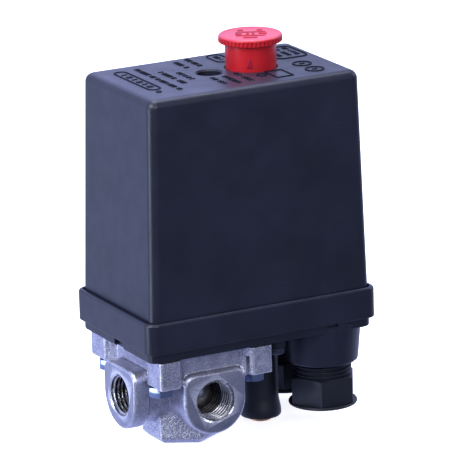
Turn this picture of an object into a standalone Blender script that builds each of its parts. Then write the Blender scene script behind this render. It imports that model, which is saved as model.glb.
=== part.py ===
"""Pressure switch for a small air compressor, with four-bolt port manifold, two cable glands,
a push-pull knob and an unloader valve.

Frame: metres, +Z up. The origin is the centre of the bottom tank port's mouth, -X is the side
with the single side port, and the cable glands are at +X.
"""
import math

import bmesh
import bpy
from mathutils import Matrix, Vector

MM = 0.001
GAP = 0.3 * MM                    # clearance between neighbouring pieces
STEPS = 24                        # facets round a turned piece

# Casing: a rectangular base tray with a rim, and a tall cover that stands in it
CASE_X = 15.9 * MM                # centre of the casing along X
BASE_BOTTOM = 32.2 * MM
STEP_TOP = 35.2 * MM              # the lower step ends here and the rim begins
RIM_TOP = 45.2 * MM
RIM_SIZE = (80.1 * MM, 51.4 * MM)
RIM_CORNER = 3.6 * MM
STEP_INSET = 1.4 * MM
FLOOR_TOP = 36.2 * MM
LEDGE = 40.9 * MM                 # the cover's lower edge stands just above this ledge
COVER_BOTTOM = LEDGE + GAP
COVER_TOP = 114.6 * MM
COVER_SIZE = (76.5 * MM, 48.8 * MM)
COVER_DRAFT = (1.95 * MM, 1.2 * MM)       # how far each wall leans in from bottom to top
COVER_SHIFT = 0.4 * MM            # the cover's top is moved this far towards +X
COVER_CORNER = 2.8 * MM
COVER_FILLET = 2.4 * MM
WALL = 2.0 * MM
SCREW_WELL = (12.3 * MM, 0.0)     # axis of the cover's screw
WELL_FLOOR = 100.2 * MM
SCREW_END = 85.2 * MM             # lower end of the cover's screw

# Knob, pulled up in the ON position
KNOB = (26.9 * MM, 0.0)
KNOB_SKIRT_R = 8.0 * MM
KNOB_HEAD_R = 10.0 * MM
KNOB_TOP = 125.1 * MM
KNOB_HEAD_BOTTOM = 122.7 * MM
KNOB_BOTTOM = 106.2 * MM
KNOB_TRAVEL = 7.0 * MM

# Cast manifold
PORT_Z = 16.2 * MM
ARM_HEAD = 5.0 * MM               # length of each arm's thick end
ARM_HALF_WIDTH = 10.7 * MM
ARM_TOP = 25.7 * MM
FLANGE_SIZE = (38.9 * MM, 48.6 * MM)
FLANGE_BOTTOM = 23.2 * MM
FLANGE_TOP = BASE_BOTTOM - GAP
FLANGE_NOTCH_Z = (5.0 * MM, 40.0 * MM)    # tall enough to pass right through the flange
CAST_X = -0.5 * MM                # centre of the flange and of the foot along X
FOOT_FLATS = 22.4 * MM            # across flats of the hexagonal foot
FOOT_CHAMFER = 1.5 * MM
THREAD_R = 6.0 * MM               # mean radius of the G1/4 threads
PORT_DEPTH = 13.0 * MM
TANK_PORT_DEPTH = 11.0 * MM
RISER_R = 3.4 * MM
# The side ports: direction, reach from the tank port's axis, half width of the arm's neck, passage radius
SIDE_PORTS = (((-1, 0, 0), 22.5 * MM, 9.5 * MM, 2.7 * MM),
              ((0, -1, 0), 22.0 * MM, 9.8 * MM, 3.0 * MM),
              ((0, 1, 0), 22.0 * MM, 9.8 * MM, 3.0 * MM))
BOLT_SPACING = (16.0 * MM, 17.2 * MM)
BOLT_R = 2.0 * MM
BOLT_HEAD_FLATS = 7.0 * MM
BOLT_HEAD_HEIGHT = 3.2 * MM
BOLT_END = 39.5 * MM

# Diaphragm and piston
DIAPHRAGM_R = 15.0 * MM
RECESS_BOTTOM = 30.1 * MM
PISTON_R = 11.0 * MM

# Cable glands
GLAND_X = 42.6 * MM
GLAND_Y = 12.6 * MM
GLAND_BOSS_BOTTOM = 20.6 * MM
GLAND_SEAT = 31.5 * MM            # end of the threaded bore in each boss
GLAND_THREAD_R = 9.3 * MM
GLAND_BORE_R = 5.5 * MM
GLAND_FLATS = 19.0 * MM
GLAND_HEX_TOP = 16.1 * MM
GLAND_HEX_HEIGHT = 8.8 * MM
GLAND_THREAD_TOP = 27.9 * MM
REAR_GLAND_DROP = 0.9 * MM        # the rear gland is screwed in less far

# Unloader valve
VALVE = (26.9 * MM, 0.0)
SLEEVE_R = 5.85 * MM
SLEEVE_FLARE_R = 6.6 * MM
SLEEVE_BOTTOM = 1.5 * MM
SLEEVE_TOP = 37.8 * MM
SLEEVE_BORE_R = 4.6 * MM
NOZZLE_TOP = 13.2 * MM
NOZZLE_BOTTOM = 0.02 * MM
NOZZLE_R = 3.8 * MM
PIN_BOTTOM = 14.2 * MM
PIN_COLLAR_Z = (29.2 * MM, 30.7 * MM)     # the collar that the unloader's spring presses on

# Mechanism
PIVOT = (12.0 * MM, 44.7 * MM)    # lever pivot, X and Z
PIVOT_R = 1.5 * MM
LEVER_Z = (47.2 * MM, 49.2 * MM)
FRAME_TOP = 89.2 * MM
FRAME_PLATE = 2.0 * MM
WINDOW_Z = (57.2 * MM, 77.2 * MM)
CHEEK_INNER = 14.0 * MM
CHEEK = 1.5 * MM
SCREW_R = 3.0 * MM
SHANK_BOTTOM = 65.2 * MM
NUT_Z = (79.2 * MM, 82.7 * MM)
CARRIER_X = 27.5 * MM
CARRIER_Z = (52.2 * MM, 57.1 * MM)

# Terminals
SHELF_Z = (54.2 * MM, 59.2 * MM)
TERMINAL_Y = (-14.5 * MM, -6.7 * MM, 6.7 * MM, 14.5 * MM)
TERMINAL_PLATE = 1.5 * MM
TERMINAL_SCREW_X = 41.0 * MM
BLOCK_SCREW = (24.0 * MM, 17.6 * MM)      # the two screws that hold the terminal block from below
BLOCK_BOSS_BOTTOM = 29.2 * MM
BLOCK_SCREW_R = 1.5 * MM
BLOCK_FOOT_TOP = 39.5 * MM

parts = None
cutters = None


def clear_scene():
    for obj in list(bpy.data.objects):
        bpy.data.objects.remove(obj, do_unlink=True)


def new_collection(name):
    collection = bpy.data.collections.new(name)
    bpy.context.scene.collection.children.link(collection)
    return collection


def make_material(name, colour, roughness, metallic):
    material = bpy.data.materials.new(name)
    material.use_nodes = True
    shader = material.node_tree.nodes["Principled BSDF"]
    shader.inputs["Base Color"].default_value = (*colour, 1.0)
    shader.inputs["Roughness"].default_value = roughness
    shader.inputs["Metallic"].default_value = metallic
    material.diffuse_color = (*colour, 1.0)
    return material


# ---------------------------------------------------------------- building blocks

def object_from(bm, name, centre=(0.0, 0.0, 0.0)):
    """Turn a bmesh given in world coordinates into an object whose origin is at centre."""
    bmesh.ops.translate(bm, verts=bm.verts, vec=-Vector(centre))
    mesh = bpy.data.meshes.new(name)
    bm.to_mesh(mesh)
    bm.free()
    obj = bpy.data.objects.new(name, mesh)
    obj.location = centre
    parts.objects.link(obj)
    return obj


def box(name, low, high, origin=None):
    low = Vector(low)
    size = Vector(high) - low
    bm = bmesh.new()
    bmesh.ops.create_cube(bm, size=1.0)
    bmesh.ops.scale(bm, verts=bm.verts, vec=size)
    bmesh.ops.translate(bm, verts=bm.verts, vec=low + size / 2)
    return object_from(bm, name, origin or low + size / 2)


def prism(name, outline, z_range):
    """An upright prism over a convex outline of (x, y) points."""
    bm = bmesh.new()
    base = bm.faces.new([bm.verts.new((x, y, z_range[0])) for x, y in outline])
    extruded = bmesh.ops.extrude_face_region(bm, geom=[base])
    raised = [item for item in extruded["geom"] if isinstance(item, bmesh.types.BMVert)]
    bmesh.ops.translate(bm, verts=raised, vec=(0, 0, z_range[1] - z_range[0]))
    bmesh.ops.recalc_face_normals(bm, faces=bm.faces)
    return object_from(bm, name)


def edges_where(bm, test):
    return [edge for edge in bm.edges if test(edge)]


def is_upright(edge):
    low, high = sorted(vert.co.z for vert in edge.verts)
    return high - low > 0.5 * edge.calc_length()


def round_edges(bm, edges, radius, segments):
    bmesh.ops.bevel(bm, geom=edges, offset=radius, segments=segments, profile=0.5,
                    affect="EDGES", clamp_overlap=True)


def rounded_box(name, centre, size, z_range, corner, segments=3, fillet=0.0, draft=(0.0, 0.0), shift=0.0):
    """An upright box with round corners. Draft narrows its top and fillet rounds its top edge."""
    low, high = z_range
    bm = bmesh.new()
    bmesh.ops.create_cube(bm, size=1.0)
    for vert in bm.verts:
        is_top = vert.co.z > 0
        lean_x = draft[0] if is_top else 0.0
        lean_y = draft[1] if is_top else 0.0
        vert.co.x = centre[0] + math.copysign(size[0] / 2 - lean_x, vert.co.x) + (shift if is_top else 0.0)
        vert.co.y = centre[1] + math.copysign(size[1] / 2 - lean_y, vert.co.y)
        vert.co.z = high if is_top else low
    round_edges(bm, edges_where(bm, is_upright), corner, segments)
    if fillet:
        top_edges = edges_where(bm, lambda edge: all(vert.co.z > high - 1e-6 for vert in edge.verts))
        round_edges(bm, top_edges, fillet, segments)
    return object_from(bm, name, (centre[0], centre[1], low))


def cylinder(name, centre, z_range, radius, top_radius=None, sides=STEPS, turn=0.0):
    low, high = z_range
    bm = bmesh.new()
    bmesh.ops.create_cone(bm, cap_ends=True, segments=sides, radius1=radius,
                          radius2=radius if top_radius is None else top_radius, depth=high - low)
    bmesh.ops.rotate(bm, verts=bm.verts, matrix=Matrix.Rotation(turn, 3, "Z"))
    bmesh.ops.translate(bm, verts=bm.verts, vec=(centre[0], centre[1], (low + high) / 2))
    obj = object_from(bm, name, (centre[0], centre[1], low))
    shade_round(obj)
    return obj


def hexagon(name, centre, z_range, flats):
    """A hexagon bar with two of its corners on the X axis."""
    return cylinder(name, centre, z_range, flats / math.sqrt(3), sides=6, turn=math.radians(30))


def lying_cylinder(name, start, direction, length, radius, end_radius=None, sides=STEPS):
    """A cylinder or cone from start along a horizontal direction."""
    direction = Vector(direction)
    bm = bmesh.new()
    bmesh.ops.create_cone(bm, cap_ends=True, segments=sides, radius1=radius,
                          radius2=radius if end_radius is None else end_radius, depth=length)
    turn = Vector((0, 0, 1)).rotation_difference(direction).to_matrix()
    bmesh.ops.rotate(bm, verts=bm.verts, matrix=turn)
    bmesh.ops.translate(bm, verts=bm.verts, vec=Vector(start) + direction * length / 2)
    obj = object_from(bm, name, start)
    shade_round(obj)
    return obj


def spin_profile(name, centre, profile, edges, steps):
    mesh = bpy.data.meshes.new(name)
    mesh.from_pydata([(radius, 0.0, height) for radius, height in profile], edges, [])
    obj = bpy.data.objects.new(name, mesh)
    obj.location = (centre[0], centre[1], 0.0)
    parts.objects.link(obj)
    screw = obj.modifiers.new("turn", "SCREW")
    screw.steps = steps
    screw.render_steps = steps
    screw.use_merge_vertices = True
    screw.merge_threshold = 1e-6
    screw.use_smooth_shade = True
    return obj


def turned(name, centre, profile, steps=STEPS):
    """A turned piece about a vertical axis. Its profile is (radius, height) from top to bottom."""
    edges = [(i, i + 1) for i in range(len(profile) - 1)]
    return spin_profile(name, centre, profile, edges, steps)


def turned_ring(name, centre, profile, steps=STEPS):
    """A turned piece with a hole: the closed profile runs down the outside and up the inside."""
    count = len(profile)
    edges = [(i, (i + 1) % count) for i in range(count)]
    return spin_profile(name, centre, profile, edges, steps)


def coil_spring(name, centre, z_range, radius, wire_r, turns, points_per_turn=12):
    """A compression spring. Its last turn at each end is nearly flat, and the wire is capped."""
    low = z_range[0] + wire_r
    high = z_range[1] - wire_r
    count = int(turns * points_per_turn)
    curve = bpy.data.curves.new(name, "CURVE")
    curve.dimensions = "3D"
    curve.bevel_depth = wire_r
    curve.bevel_resolution = 2
    curve.use_fill_caps = True
    spline = curve.splines.new("POLY")
    spline.points.add(count)
    closing = 2.4 * wire_r                      # rise of a closed end turn
    for i, point in enumerate(spline.points):
        turn = i / points_per_turn
        angle = math.tau * turn
        free_turns = turns - 2.0
        if turn < 1.0:
            height = low + closing * turn
        elif turn > turns - 1.0:
            height = high - closing * (turns - turn)
        else:
            height = low + closing + (high - low - 2 * closing) * (turn - 1.0) / free_turns
        point.co = (radius * math.cos(angle), radius * math.sin(angle), height, 1.0)
    guide = bpy.data.objects.new(name + "_wire", curve)
    guide.location = (centre[0], centre[1], 0.0)
    parts.objects.link(guide)
    return solid_from_curve(guide, name)


def solid_from_curve(guide, name):
    """Replace a curve with a mesh whose end caps are welded on."""
    bpy.context.view_layer.update()
    graph = bpy.context.evaluated_depsgraph_get()
    mesh = bpy.data.meshes.new_from_object(guide.evaluated_get(graph))
    bm = bmesh.new()
    bm.from_mesh(mesh)
    bmesh.ops.remove_doubles(bm, verts=bm.verts, dist=1e-7)
    bm.to_mesh(mesh)
    bm.free()
    obj = bpy.data.objects.new(name, mesh)
    obj.matrix_world = guide.matrix_world
    parts.objects.link(obj)
    bpy.data.objects.remove(guide, do_unlink=True)
    mesh.shade_smooth()
    return obj


def shade_round(obj, angle=math.radians(35)):
    obj.data.shade_smooth()
    obj.data.set_sharp_from_angle(angle=angle)


def use_tool(obj, tool, operation):
    modifier = obj.modifiers.new(tool.name, "BOOLEAN")
    modifier.operation = operation
    modifier.object = tool
    modifier.solver = "EXACT"
    parts.objects.unlink(tool)
    cutters.objects.link(tool)
    tool.display_type = "WIRE"
    tool.hide_render = True


def cut(obj, *tools):
    for tool in tools:
        use_tool(obj, tool, "DIFFERENCE")


def join(obj, *tools):
    for tool in tools:
        use_tool(obj, tool, "UNION")


def finish(obj, material):
    obj.data.materials.clear()
    obj.data.materials.append(material)
    return obj


def bolt_axes():
    """Centres of the four flange bolts, from -X to +X."""
    spacing_x, spacing_y = BOLT_SPACING
    return [(CAST_X + sx * spacing_x, sy * spacing_y) for sx in (-1, 1) for sy in (-1, 1)]


# ---------------------------------------------------------------- casing

def make_base_tray(material):
    rim_range = (STEP_TOP, RIM_TOP)
    rim = rounded_box("base_tray", (CASE_X, 0.0), RIM_SIZE, rim_range, RIM_CORNER, 4, fillet=0.8 * MM)
    step_size = (RIM_SIZE[0] - 2 * STEP_INSET, RIM_SIZE[1] - 2 * STEP_INSET)
    step = rounded_box("base_step", (CASE_X, 0.0), step_size, (BASE_BOTTOM, STEP_TOP + 1 * MM), RIM_CORNER, 4)
    join(rim, step)
    for side in (-1, 1):
        centre = (GLAND_X, side * GLAND_Y)
        boss_range = (GLAND_BOSS_BOTTOM, BASE_BOTTOM + 2 * MM)
        join(rim, cylinder("gland_boss", centre, boss_range, 11.4 * MM, top_radius=12.6 * MM))
        centre = (BLOCK_SCREW[0], side * BLOCK_SCREW[1])
        boss_range = (BLOCK_BOSS_BOTTOM, BASE_BOTTOM + 1 * MM)
        join(rim, cylinder("screw_boss", centre, boss_range, 3.2 * MM, sides=16))
    pad_high = (45.4 * MM, -24.0 * MM, STEP_TOP + 1 * MM)
    join(rim, box("step_pad", (41.8 * MM, -25.2 * MM, 31.4 * MM), pad_high))
    cover_room = (COVER_SIZE[0] + 0.8 * MM, COVER_SIZE[1] + 0.8 * MM)
    upper = rounded_box("cover_seat", (CASE_X, 0.0), cover_room, (LEDGE, RIM_TOP + 2 * MM), COVER_CORNER, 3)
    cavity_size = (COVER_SIZE[0] - 5.2 * MM, COVER_SIZE[1] - 5.2 * MM)
    lower = rounded_box("base_cavity", (CASE_X, 0.0), cavity_size, (FLOOR_TOP, LEDGE + 2 * MM), 2 * MM, 2)
    cut(rim, upper, lower)
    below = BASE_BOTTOM - 2 * MM
    above = FLOOR_TOP + 1 * MM
    cut(rim, cylinder("piston_opening", (0.0, 0.0), (below, above), PISTON_R + 1 * MM))
    cut(rim, cylinder("valve_opening", VALVE, (below, above), SLEEVE_R + GAP))
    for side in (-1, 1):
        centre = (GLAND_X, side * GLAND_Y)
        cut(rim, cylinder("gland_bore", centre, (GLAND_SEAT - 1 * MM, above), GLAND_BORE_R))
        thread_range = (GLAND_BOSS_BOTTOM - 1 * MM, GLAND_SEAT)
        cut(rim, cylinder("gland_thread", centre, thread_range, GLAND_THREAD_R + GAP))
        centre = (BLOCK_SCREW[0], side * BLOCK_SCREW[1])
        hole_range = (BLOCK_BOSS_BOTTOM - 1 * MM, above)
        cut(rim, cylinder("block_screw_hole", centre, hole_range, BLOCK_SCREW_R + GAP, sides=12))
    for centre in bolt_axes():
        cut(rim, cylinder("bolt_hole", centre, (below, above), BOLT_R + GAP, sides=16))
    wall_x = CASE_X - RIM_SIZE[0] / 2
    notch_low = (wall_x - 1 * MM, -4.7 * MM, BASE_BOTTOM - 1 * MM)
    notch_high = (wall_x + 2.6 * MM, 1.4 * MM, STEP_TOP)
    cut(rim, box("pry_notch", notch_low, notch_high))
    return finish(rim, material)


def make_cover(material):
    z_range = (COVER_BOTTOM, COVER_TOP)
    cover = rounded_box("cover", (CASE_X, 0.0), COVER_SIZE, z_range, COVER_CORNER, 4,
                        fillet=COVER_FILLET, draft=COVER_DRAFT, shift=COVER_SHIFT)
    room = (COVER_SIZE[0] - 2 * WALL, COVER_SIZE[1] - 2 * WALL)
    hollow_range = (COVER_BOTTOM - 1 * MM, COVER_TOP - WALL)
    hollow = rounded_box("cover_hollow", (CASE_X, 0.0), room, hollow_range, 1 * MM, 2,
                         fillet=1 * MM, draft=COVER_DRAFT, shift=COVER_SHIFT)
    cut(cover, hollow)
    join(cover, cylinder("screw_well", SCREW_WELL, (WELL_FLOOR - 2 * MM, COVER_TOP - 1 * MM), 5.6 * MM))
    guide_r = KNOB_SKIRT_R + 2.2 * MM
    join(cover, cylinder("knob_guide", KNOB, (KNOB_BOTTOM + 1 * MM, COVER_TOP - 1 * MM), guide_r))
    well = cylinder("well_bore", SCREW_WELL, (WELL_FLOOR, COVER_TOP + 1 * MM), 3.95 * MM)
    shank_hole = cylinder("shank_hole", SCREW_WELL, (WELL_FLOOR - 3 * MM, WELL_FLOOR + 1 * MM), 2.3 * MM)
    bore_range = (KNOB_BOTTOM - 1 * MM, COVER_TOP + 1 * MM)
    cut(cover, well, shank_hole, cylinder("knob_bore", KNOB, bore_range, KNOB_SKIRT_R + GAP))
    return finish(cover, material)


def make_cover_screw(material):
    head_low = WELL_FLOOR + GAP
    head_high = head_low + 3.0 * MM
    profile = [(0.0, head_high), (3.0 * MM, head_high), (3.5 * MM, head_high - 0.5 * MM),
               (3.5 * MM, head_low), (BOLT_R, head_low), (BOLT_R, SCREW_END + 0.5 * MM),
               (1.5 * MM, SCREW_END), (0.0, SCREW_END)]
    screw = turned("cover_screw", SCREW_WELL, profile, steps=24)
    slots = (("cross_slot_x", 2.4 * MM, 0.45 * MM), ("cross_slot_y", 0.45 * MM, 2.4 * MM))
    for name, half_x, half_y in slots:
        low = (SCREW_WELL[0] - half_x, -half_y, head_high - 1.6 * MM)
        high = (SCREW_WELL[0] + half_x, half_y, head_high + 1 * MM)
        cut(screw, box(name, low, high))
    return finish(screw, material)


def make_knob(material):
    head = KNOB_TOP - KNOB_HEAD_BOTTOM
    profile = [(0.0, KNOB_TOP), (0.7 * KNOB_HEAD_R, KNOB_TOP - 0.1 * MM),
               (KNOB_HEAD_R - 0.5 * MM, KNOB_TOP - 0.2 * head), (KNOB_HEAD_R, KNOB_TOP - 0.4 * head),
               (KNOB_HEAD_R, KNOB_HEAD_BOTTOM), (KNOB_SKIRT_R, KNOB_HEAD_BOTTOM), (KNOB_SKIRT_R, KNOB_BOTTOM),
               (3.3 * MM, KNOB_BOTTOM), (3.3 * MM, KNOB_TOP - 5.9 * MM), (0.0, KNOB_TOP - 5.9 * MM)]
    return finish(turned("knob", KNOB, profile, steps=40), material)


def make_knob_stem(material):
    low = CARRIER_Z[1] + KNOB_TRAVEL + 0.4 * MM
    high = KNOB_TOP - 5.9 * MM - GAP
    profile = [(0.0, high), (SCREW_R, high), (SCREW_R, low + 1 * MM), (2.0 * MM, low), (0.0, low)]
    return finish(turned("knob_stem", KNOB, profile, steps=20), material)


# ---------------------------------------------------------------- manifold

def make_column():
    """The casting's core: a hexagonal column round the tank port, chamfered at its foot."""
    across_corners = FOOT_FLATS / math.sqrt(3)
    bm = bmesh.new()
    column_top = FLANGE_BOTTOM + 3 * MM
    bmesh.ops.create_cone(bm, cap_ends=True, segments=6, radius1=across_corners, radius2=across_corners,
                          depth=column_top)
    bmesh.ops.translate(bm, verts=bm.verts, vec=(CAST_X, 0.0, column_top / 2))
    foot_edges = edges_where(bm, lambda edge: all(vert.co.z < 1e-6 for vert in edge.verts))
    round_edges(bm, foot_edges, FOOT_CHAMFER, 1)
    return object_from(bm, "manifold")


def arc(centre, radius, start_deg, end_deg, count):
    """Points along an arc, both ends included."""
    angles = [math.radians(start_deg + (end_deg - start_deg) * i / count) for i in range(count + 1)]
    return [(centre[0] + radius * math.cos(angle), centre[1] + radius * math.sin(angle)) for angle in angles]


def arm_outline(half_width):
    """The cross-section of an arm: flat on top with round shoulders, half round below."""
    shoulder = 3.0 * MM
    top = ARM_TOP - PORT_Z - (ARM_HALF_WIDTH - half_width)
    outline = arc((0.0, 0.0), half_width, 180, 360, 16)
    outline += arc((half_width - shoulder, top - shoulder), shoulder, 0, 90, 4)
    outline += arc((shoulder - half_width, top - shoulder), shoulder, 90, 180, 4)
    return outline


def arm_piece(direction, half_width, reach):
    """One length of a side port's arm. Reach is where it starts and ends from the tank port's axis."""
    outline = arm_outline(half_width)
    curve = bpy.data.curves.new("arm", "CURVE")
    curve.dimensions = "2D"
    curve.fill_mode = "BOTH"
    curve.extrude = (reach[1] - reach[0]) / 2
    spline = curve.splines.new("POLY")
    spline.points.add(len(outline) - 1)
    spline.use_cyclic_u = True
    for point, (x, y) in zip(spline.points, outline):
        point.co = (x, y, 0.0, 1.0)
    guide = bpy.data.objects.new("arm_outline", curve)
    along = Vector(direction)
    up = Vector((0, 0, 1))
    turn = Matrix((up.cross(along), up, along)).transposed()
    guide.matrix_world = Matrix.Translation(along * (reach[0] + reach[1]) / 2 + up * PORT_Z) @ turn.to_4x4()
    parts.objects.link(guide)
    return solid_from_curve(guide, "port_arm")


def notch_outline(edge, half_width, taper, depth):
    """A notch in a flange's side: half_width at the edge, narrower by taper at its bottom."""
    past = 2.0 * MM
    slope = taper / depth
    return [(-half_width - past * slope, edge + past), (half_width + past * slope, edge + past),
            (half_width - taper, edge - depth), (taper - half_width, edge - depth)]


def make_manifold(material):
    casting = make_column()
    half = (FLANGE_SIZE[0] / 2, FLANGE_SIZE[1] / 2)
    flange = rounded_box("flange", (CAST_X, 0.0), FLANGE_SIZE, (FLANGE_BOTTOM, FLANGE_TOP), 1.0 * MM, 2)
    join(casting, flange)
    for side in (-1, 1):
        front = [(CAST_X + x, side * y) for x, y in notch_outline(half[1], 12.8 * MM, 3.0 * MM, 4.3 * MM)]
        end = [(CAST_X + side * y, x) for x, y in notch_outline(half[0], 15.0 * MM, 3.4 * MM, 3.4 * MM)]
        cut(casting, prism("front_notch", front, FLANGE_NOTCH_Z), prism("end_notch", end, FLANGE_NOTCH_Z))
    for direction, reach, neck, _ in SIDE_PORTS:
        head_start = reach - ARM_HEAD
        join(casting, arm_piece(direction, neck, (3.0 * MM, head_start + 1 * MM)))
        join(casting, arm_piece(direction, ARM_HALF_WIDTH, (head_start, reach)))
    for direction, reach, _, passage_r in SIDE_PORTS:
        face = Vector(direction) * (reach + 1 * MM) + Vector((0, 0, PORT_Z))
        inward = -Vector(direction)
        bore = lying_cylinder("port_bore", face, inward, PORT_DEPTH + 1 * MM, THREAD_R)
        mouth = lying_cylinder("port_mouth", face, inward, 2.4 * MM, THREAD_R + 2.0 * MM, THREAD_R - 0.4 * MM)
        passage = lying_cylinder("port_passage", face, inward, reach, passage_r, sides=16)
        cut(casting, bore, mouth, passage)
    cut(casting, cylinder("tank_bore", (0, 0), (-1 * MM, TANK_PORT_DEPTH), THREAD_R))
    mouth_range = (-1 * MM, 1.4 * MM)
    cut(casting, cylinder("tank_mouth", (0, 0), mouth_range, THREAD_R + 2.0 * MM,
                          top_radius=THREAD_R - 0.4 * MM))
    riser_range = (TANK_PORT_DEPTH - 1 * MM, RECESS_BOTTOM + 1 * MM)
    cut(casting, cylinder("riser", (0, 0), riser_range, RISER_R, sides=20))
    cut(casting, cylinder("recess", (0, 0), (RECESS_BOTTOM, FLANGE_TOP + 1 * MM), DIAPHRAGM_R + GAP))
    for centre in bolt_axes():
        bolt_range = (FLANGE_BOTTOM - 1 * MM, FLANGE_TOP + 1 * MM)
        cut(casting, cylinder("flange_hole", centre, bolt_range, BOLT_R + GAP, sides=16))
    return finish(casting, material)


def make_flange_bolts(material):
    top = FLANGE_BOTTOM - GAP
    for number, centre in enumerate(bolt_axes(), start=1):
        name = f"flange_bolt_{number}"
        bolt = hexagon(name, centre, (top - BOLT_HEAD_HEIGHT, top), BOLT_HEAD_FLATS)
        join(bolt, cylinder("bolt_shank", centre, (top - 1 * MM, BOLT_END), BOLT_R, sides=16))
        finish(bolt, material)


# ---------------------------------------------------------------- glands and unloader valve

def make_gland(name, side, drop, gland_material, seal_material):
    """A cable gland: a male thread in the boss, a hexagon and an end flange, and the seal above it."""
    centre = (GLAND_X, side * GLAND_Y)
    hex_top = GLAND_HEX_TOP - drop
    flange_top = hex_top - GLAND_HEX_HEIGHT
    bottom = flange_top - 0.9 * MM
    thread_top = GLAND_THREAD_TOP - drop
    gland = hexagon("gland_" + name, centre, (flange_top - 0.1 * MM, hex_top), GLAND_FLATS)
    join(gland, cylinder("gland_flange", centre, (bottom, flange_top), 10.85 * MM))
    join(gland, cylinder("gland_thread_" + name, centre, (hex_top - 1 * MM, thread_top), GLAND_THREAD_R))
    cut(gland, cylinder("cable_exit", centre, (bottom - 1 * MM, thread_top + 1 * MM), 6.2 * MM))
    finish(gland, gland_material)
    outer = GLAND_THREAD_R - 0.1 * MM
    inner = 5.0 * MM
    high = GLAND_SEAT - GAP
    low = thread_top + GAP
    seal_profile = [(outer, high), (outer, low), (inner, low), (inner, high)]
    finish(turned_ring("gland_seal_" + name, centre, seal_profile), seal_material)


def make_unloader(sleeve_material, brass, steel):
    flare = SLEEVE_BOTTOM + 5.0 * MM
    sleeve_profile = [(SLEEVE_BORE_R, SLEEVE_TOP), (SLEEVE_R, SLEEVE_TOP), (SLEEVE_R, flare + 1 * MM),
                      (SLEEVE_FLARE_R, flare - 2 * MM), (SLEEVE_FLARE_R, SLEEVE_BOTTOM + 0.8 * MM),
                      (SLEEVE_FLARE_R - 0.7 * MM, SLEEVE_BOTTOM), (SLEEVE_BORE_R, SLEEVE_BOTTOM)]
    finish(turned_ring("unloader_sleeve", VALVE, sleeve_profile), sleeve_material)
    collar_r = SLEEVE_BORE_R - GAP
    nozzle_profile = [(1.6 * MM, NOZZLE_TOP), (collar_r, NOZZLE_TOP), (collar_r, 5.2 * MM),
                      (NOZZLE_R, 4.6 * MM), (NOZZLE_R, NOZZLE_BOTTOM + 0.6 * MM),
                      (NOZZLE_R - 0.6 * MM, NOZZLE_BOTTOM), (1.6 * MM, NOZZLE_BOTTOM)]
    finish(turned_ring("unloader_nozzle", VALVE, nozzle_profile, steps=24), brass)
    pin_top = LEVER_Z[0] - GAP
    pin_profile = [(0.0, pin_top), (0.8 * MM, pin_top), (1.2 * MM, pin_top - 0.4 * MM),
                   (1.2 * MM, PIN_COLLAR_Z[1]), (3.6 * MM, PIN_COLLAR_Z[1]), (3.6 * MM, PIN_COLLAR_Z[0]),
                   (1.2 * MM, PIN_COLLAR_Z[0]), (1.2 * MM, PIN_BOTTOM), (0.0, PIN_BOTTOM)]
    finish(turned("unloader_pin", VALVE, pin_profile, steps=20), brass)
    spring_range = (NOZZLE_TOP + GAP, PIN_COLLAR_Z[0] - GAP)
    finish(coil_spring("unloader_spring", VALVE, spring_range, 2.7 * MM, 0.4 * MM, 6, 8), steel)


# ---------------------------------------------------------------- pressure side

def make_diaphragm_and_piston(rubber, nylon):
    low = RECESS_BOTTOM + GAP
    high = low + 1.2 * MM
    finish(cylinder("diaphragm", (0, 0), (low, high), DIAPHRAGM_R), rubber)
    disc_low = high + GAP
    disc_high = disc_low + 3.0 * MM
    top = LEVER_Z[0] - GAP
    profile = [(0.0, top), (1.5 * MM, top), (4.0 * MM, top - 2.0 * MM), (4.0 * MM, disc_high),
               (PISTON_R, disc_high), (PISTON_R, disc_low), (0.0, disc_low)]
    finish(turned("diaphragm_piston", (0, 0), profile), nylon)


def make_mounting_frame(material):
    low = FLOOR_TOP + GAP
    plate_top = low + FRAME_PLATE
    cheek_outer = CHEEK_INNER + CHEEK
    frame = box("mounting_frame", (-19.3 * MM, -20.6 * MM, low), (20.4 * MM, 20.6 * MM, plate_top))
    for side in (-1, 1):
        low_y, high_y = sorted((side * CHEEK_INNER, side * cheek_outer))
        join(frame, box("cheek", (-9 * MM, low_y, plate_top - 1 * MM), (17 * MM, high_y, FRAME_TOP)))
    bridge_low = FRAME_TOP - FRAME_PLATE
    bridge_high = (17 * MM, cheek_outer, FRAME_TOP + 0.1 * MM)
    join(frame, box("bridge", (-9 * MM, -cheek_outer, bridge_low), bridge_high))
    cut(frame, cylinder("piston_hole", (0, 0), (low - 1 * MM, plate_top + 1 * MM), 6.0 * MM))
    top_range = (bridge_low - 1 * MM, FRAME_TOP + 1 * MM)
    cut(frame, cylinder("screw_hole", (0, 0), top_range, SCREW_R + GAP, sides=24))
    cut(frame, cylinder("cover_screw_hole", SCREW_WELL, top_range, BOLT_R + GAP, sides=16))
    cut(frame, box("cheek_window", (-4 * MM, -30 * MM, WINDOW_Z[0]), (12 * MM, 30 * MM, WINDOW_Z[1])))
    pin_start = (PIVOT[0], -30 * MM, PIVOT[1])
    cut(frame, lying_cylinder("pivot_hole", pin_start, (0, 1, 0), 60 * MM, PIVOT_R + GAP, sides=20))
    for centre in bolt_axes():
        cut(frame, cylinder("frame_hole", centre, (low - 1 * MM, plate_top + 1 * MM), BOLT_R + GAP, sides=16))
    return finish(frame, material)


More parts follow.
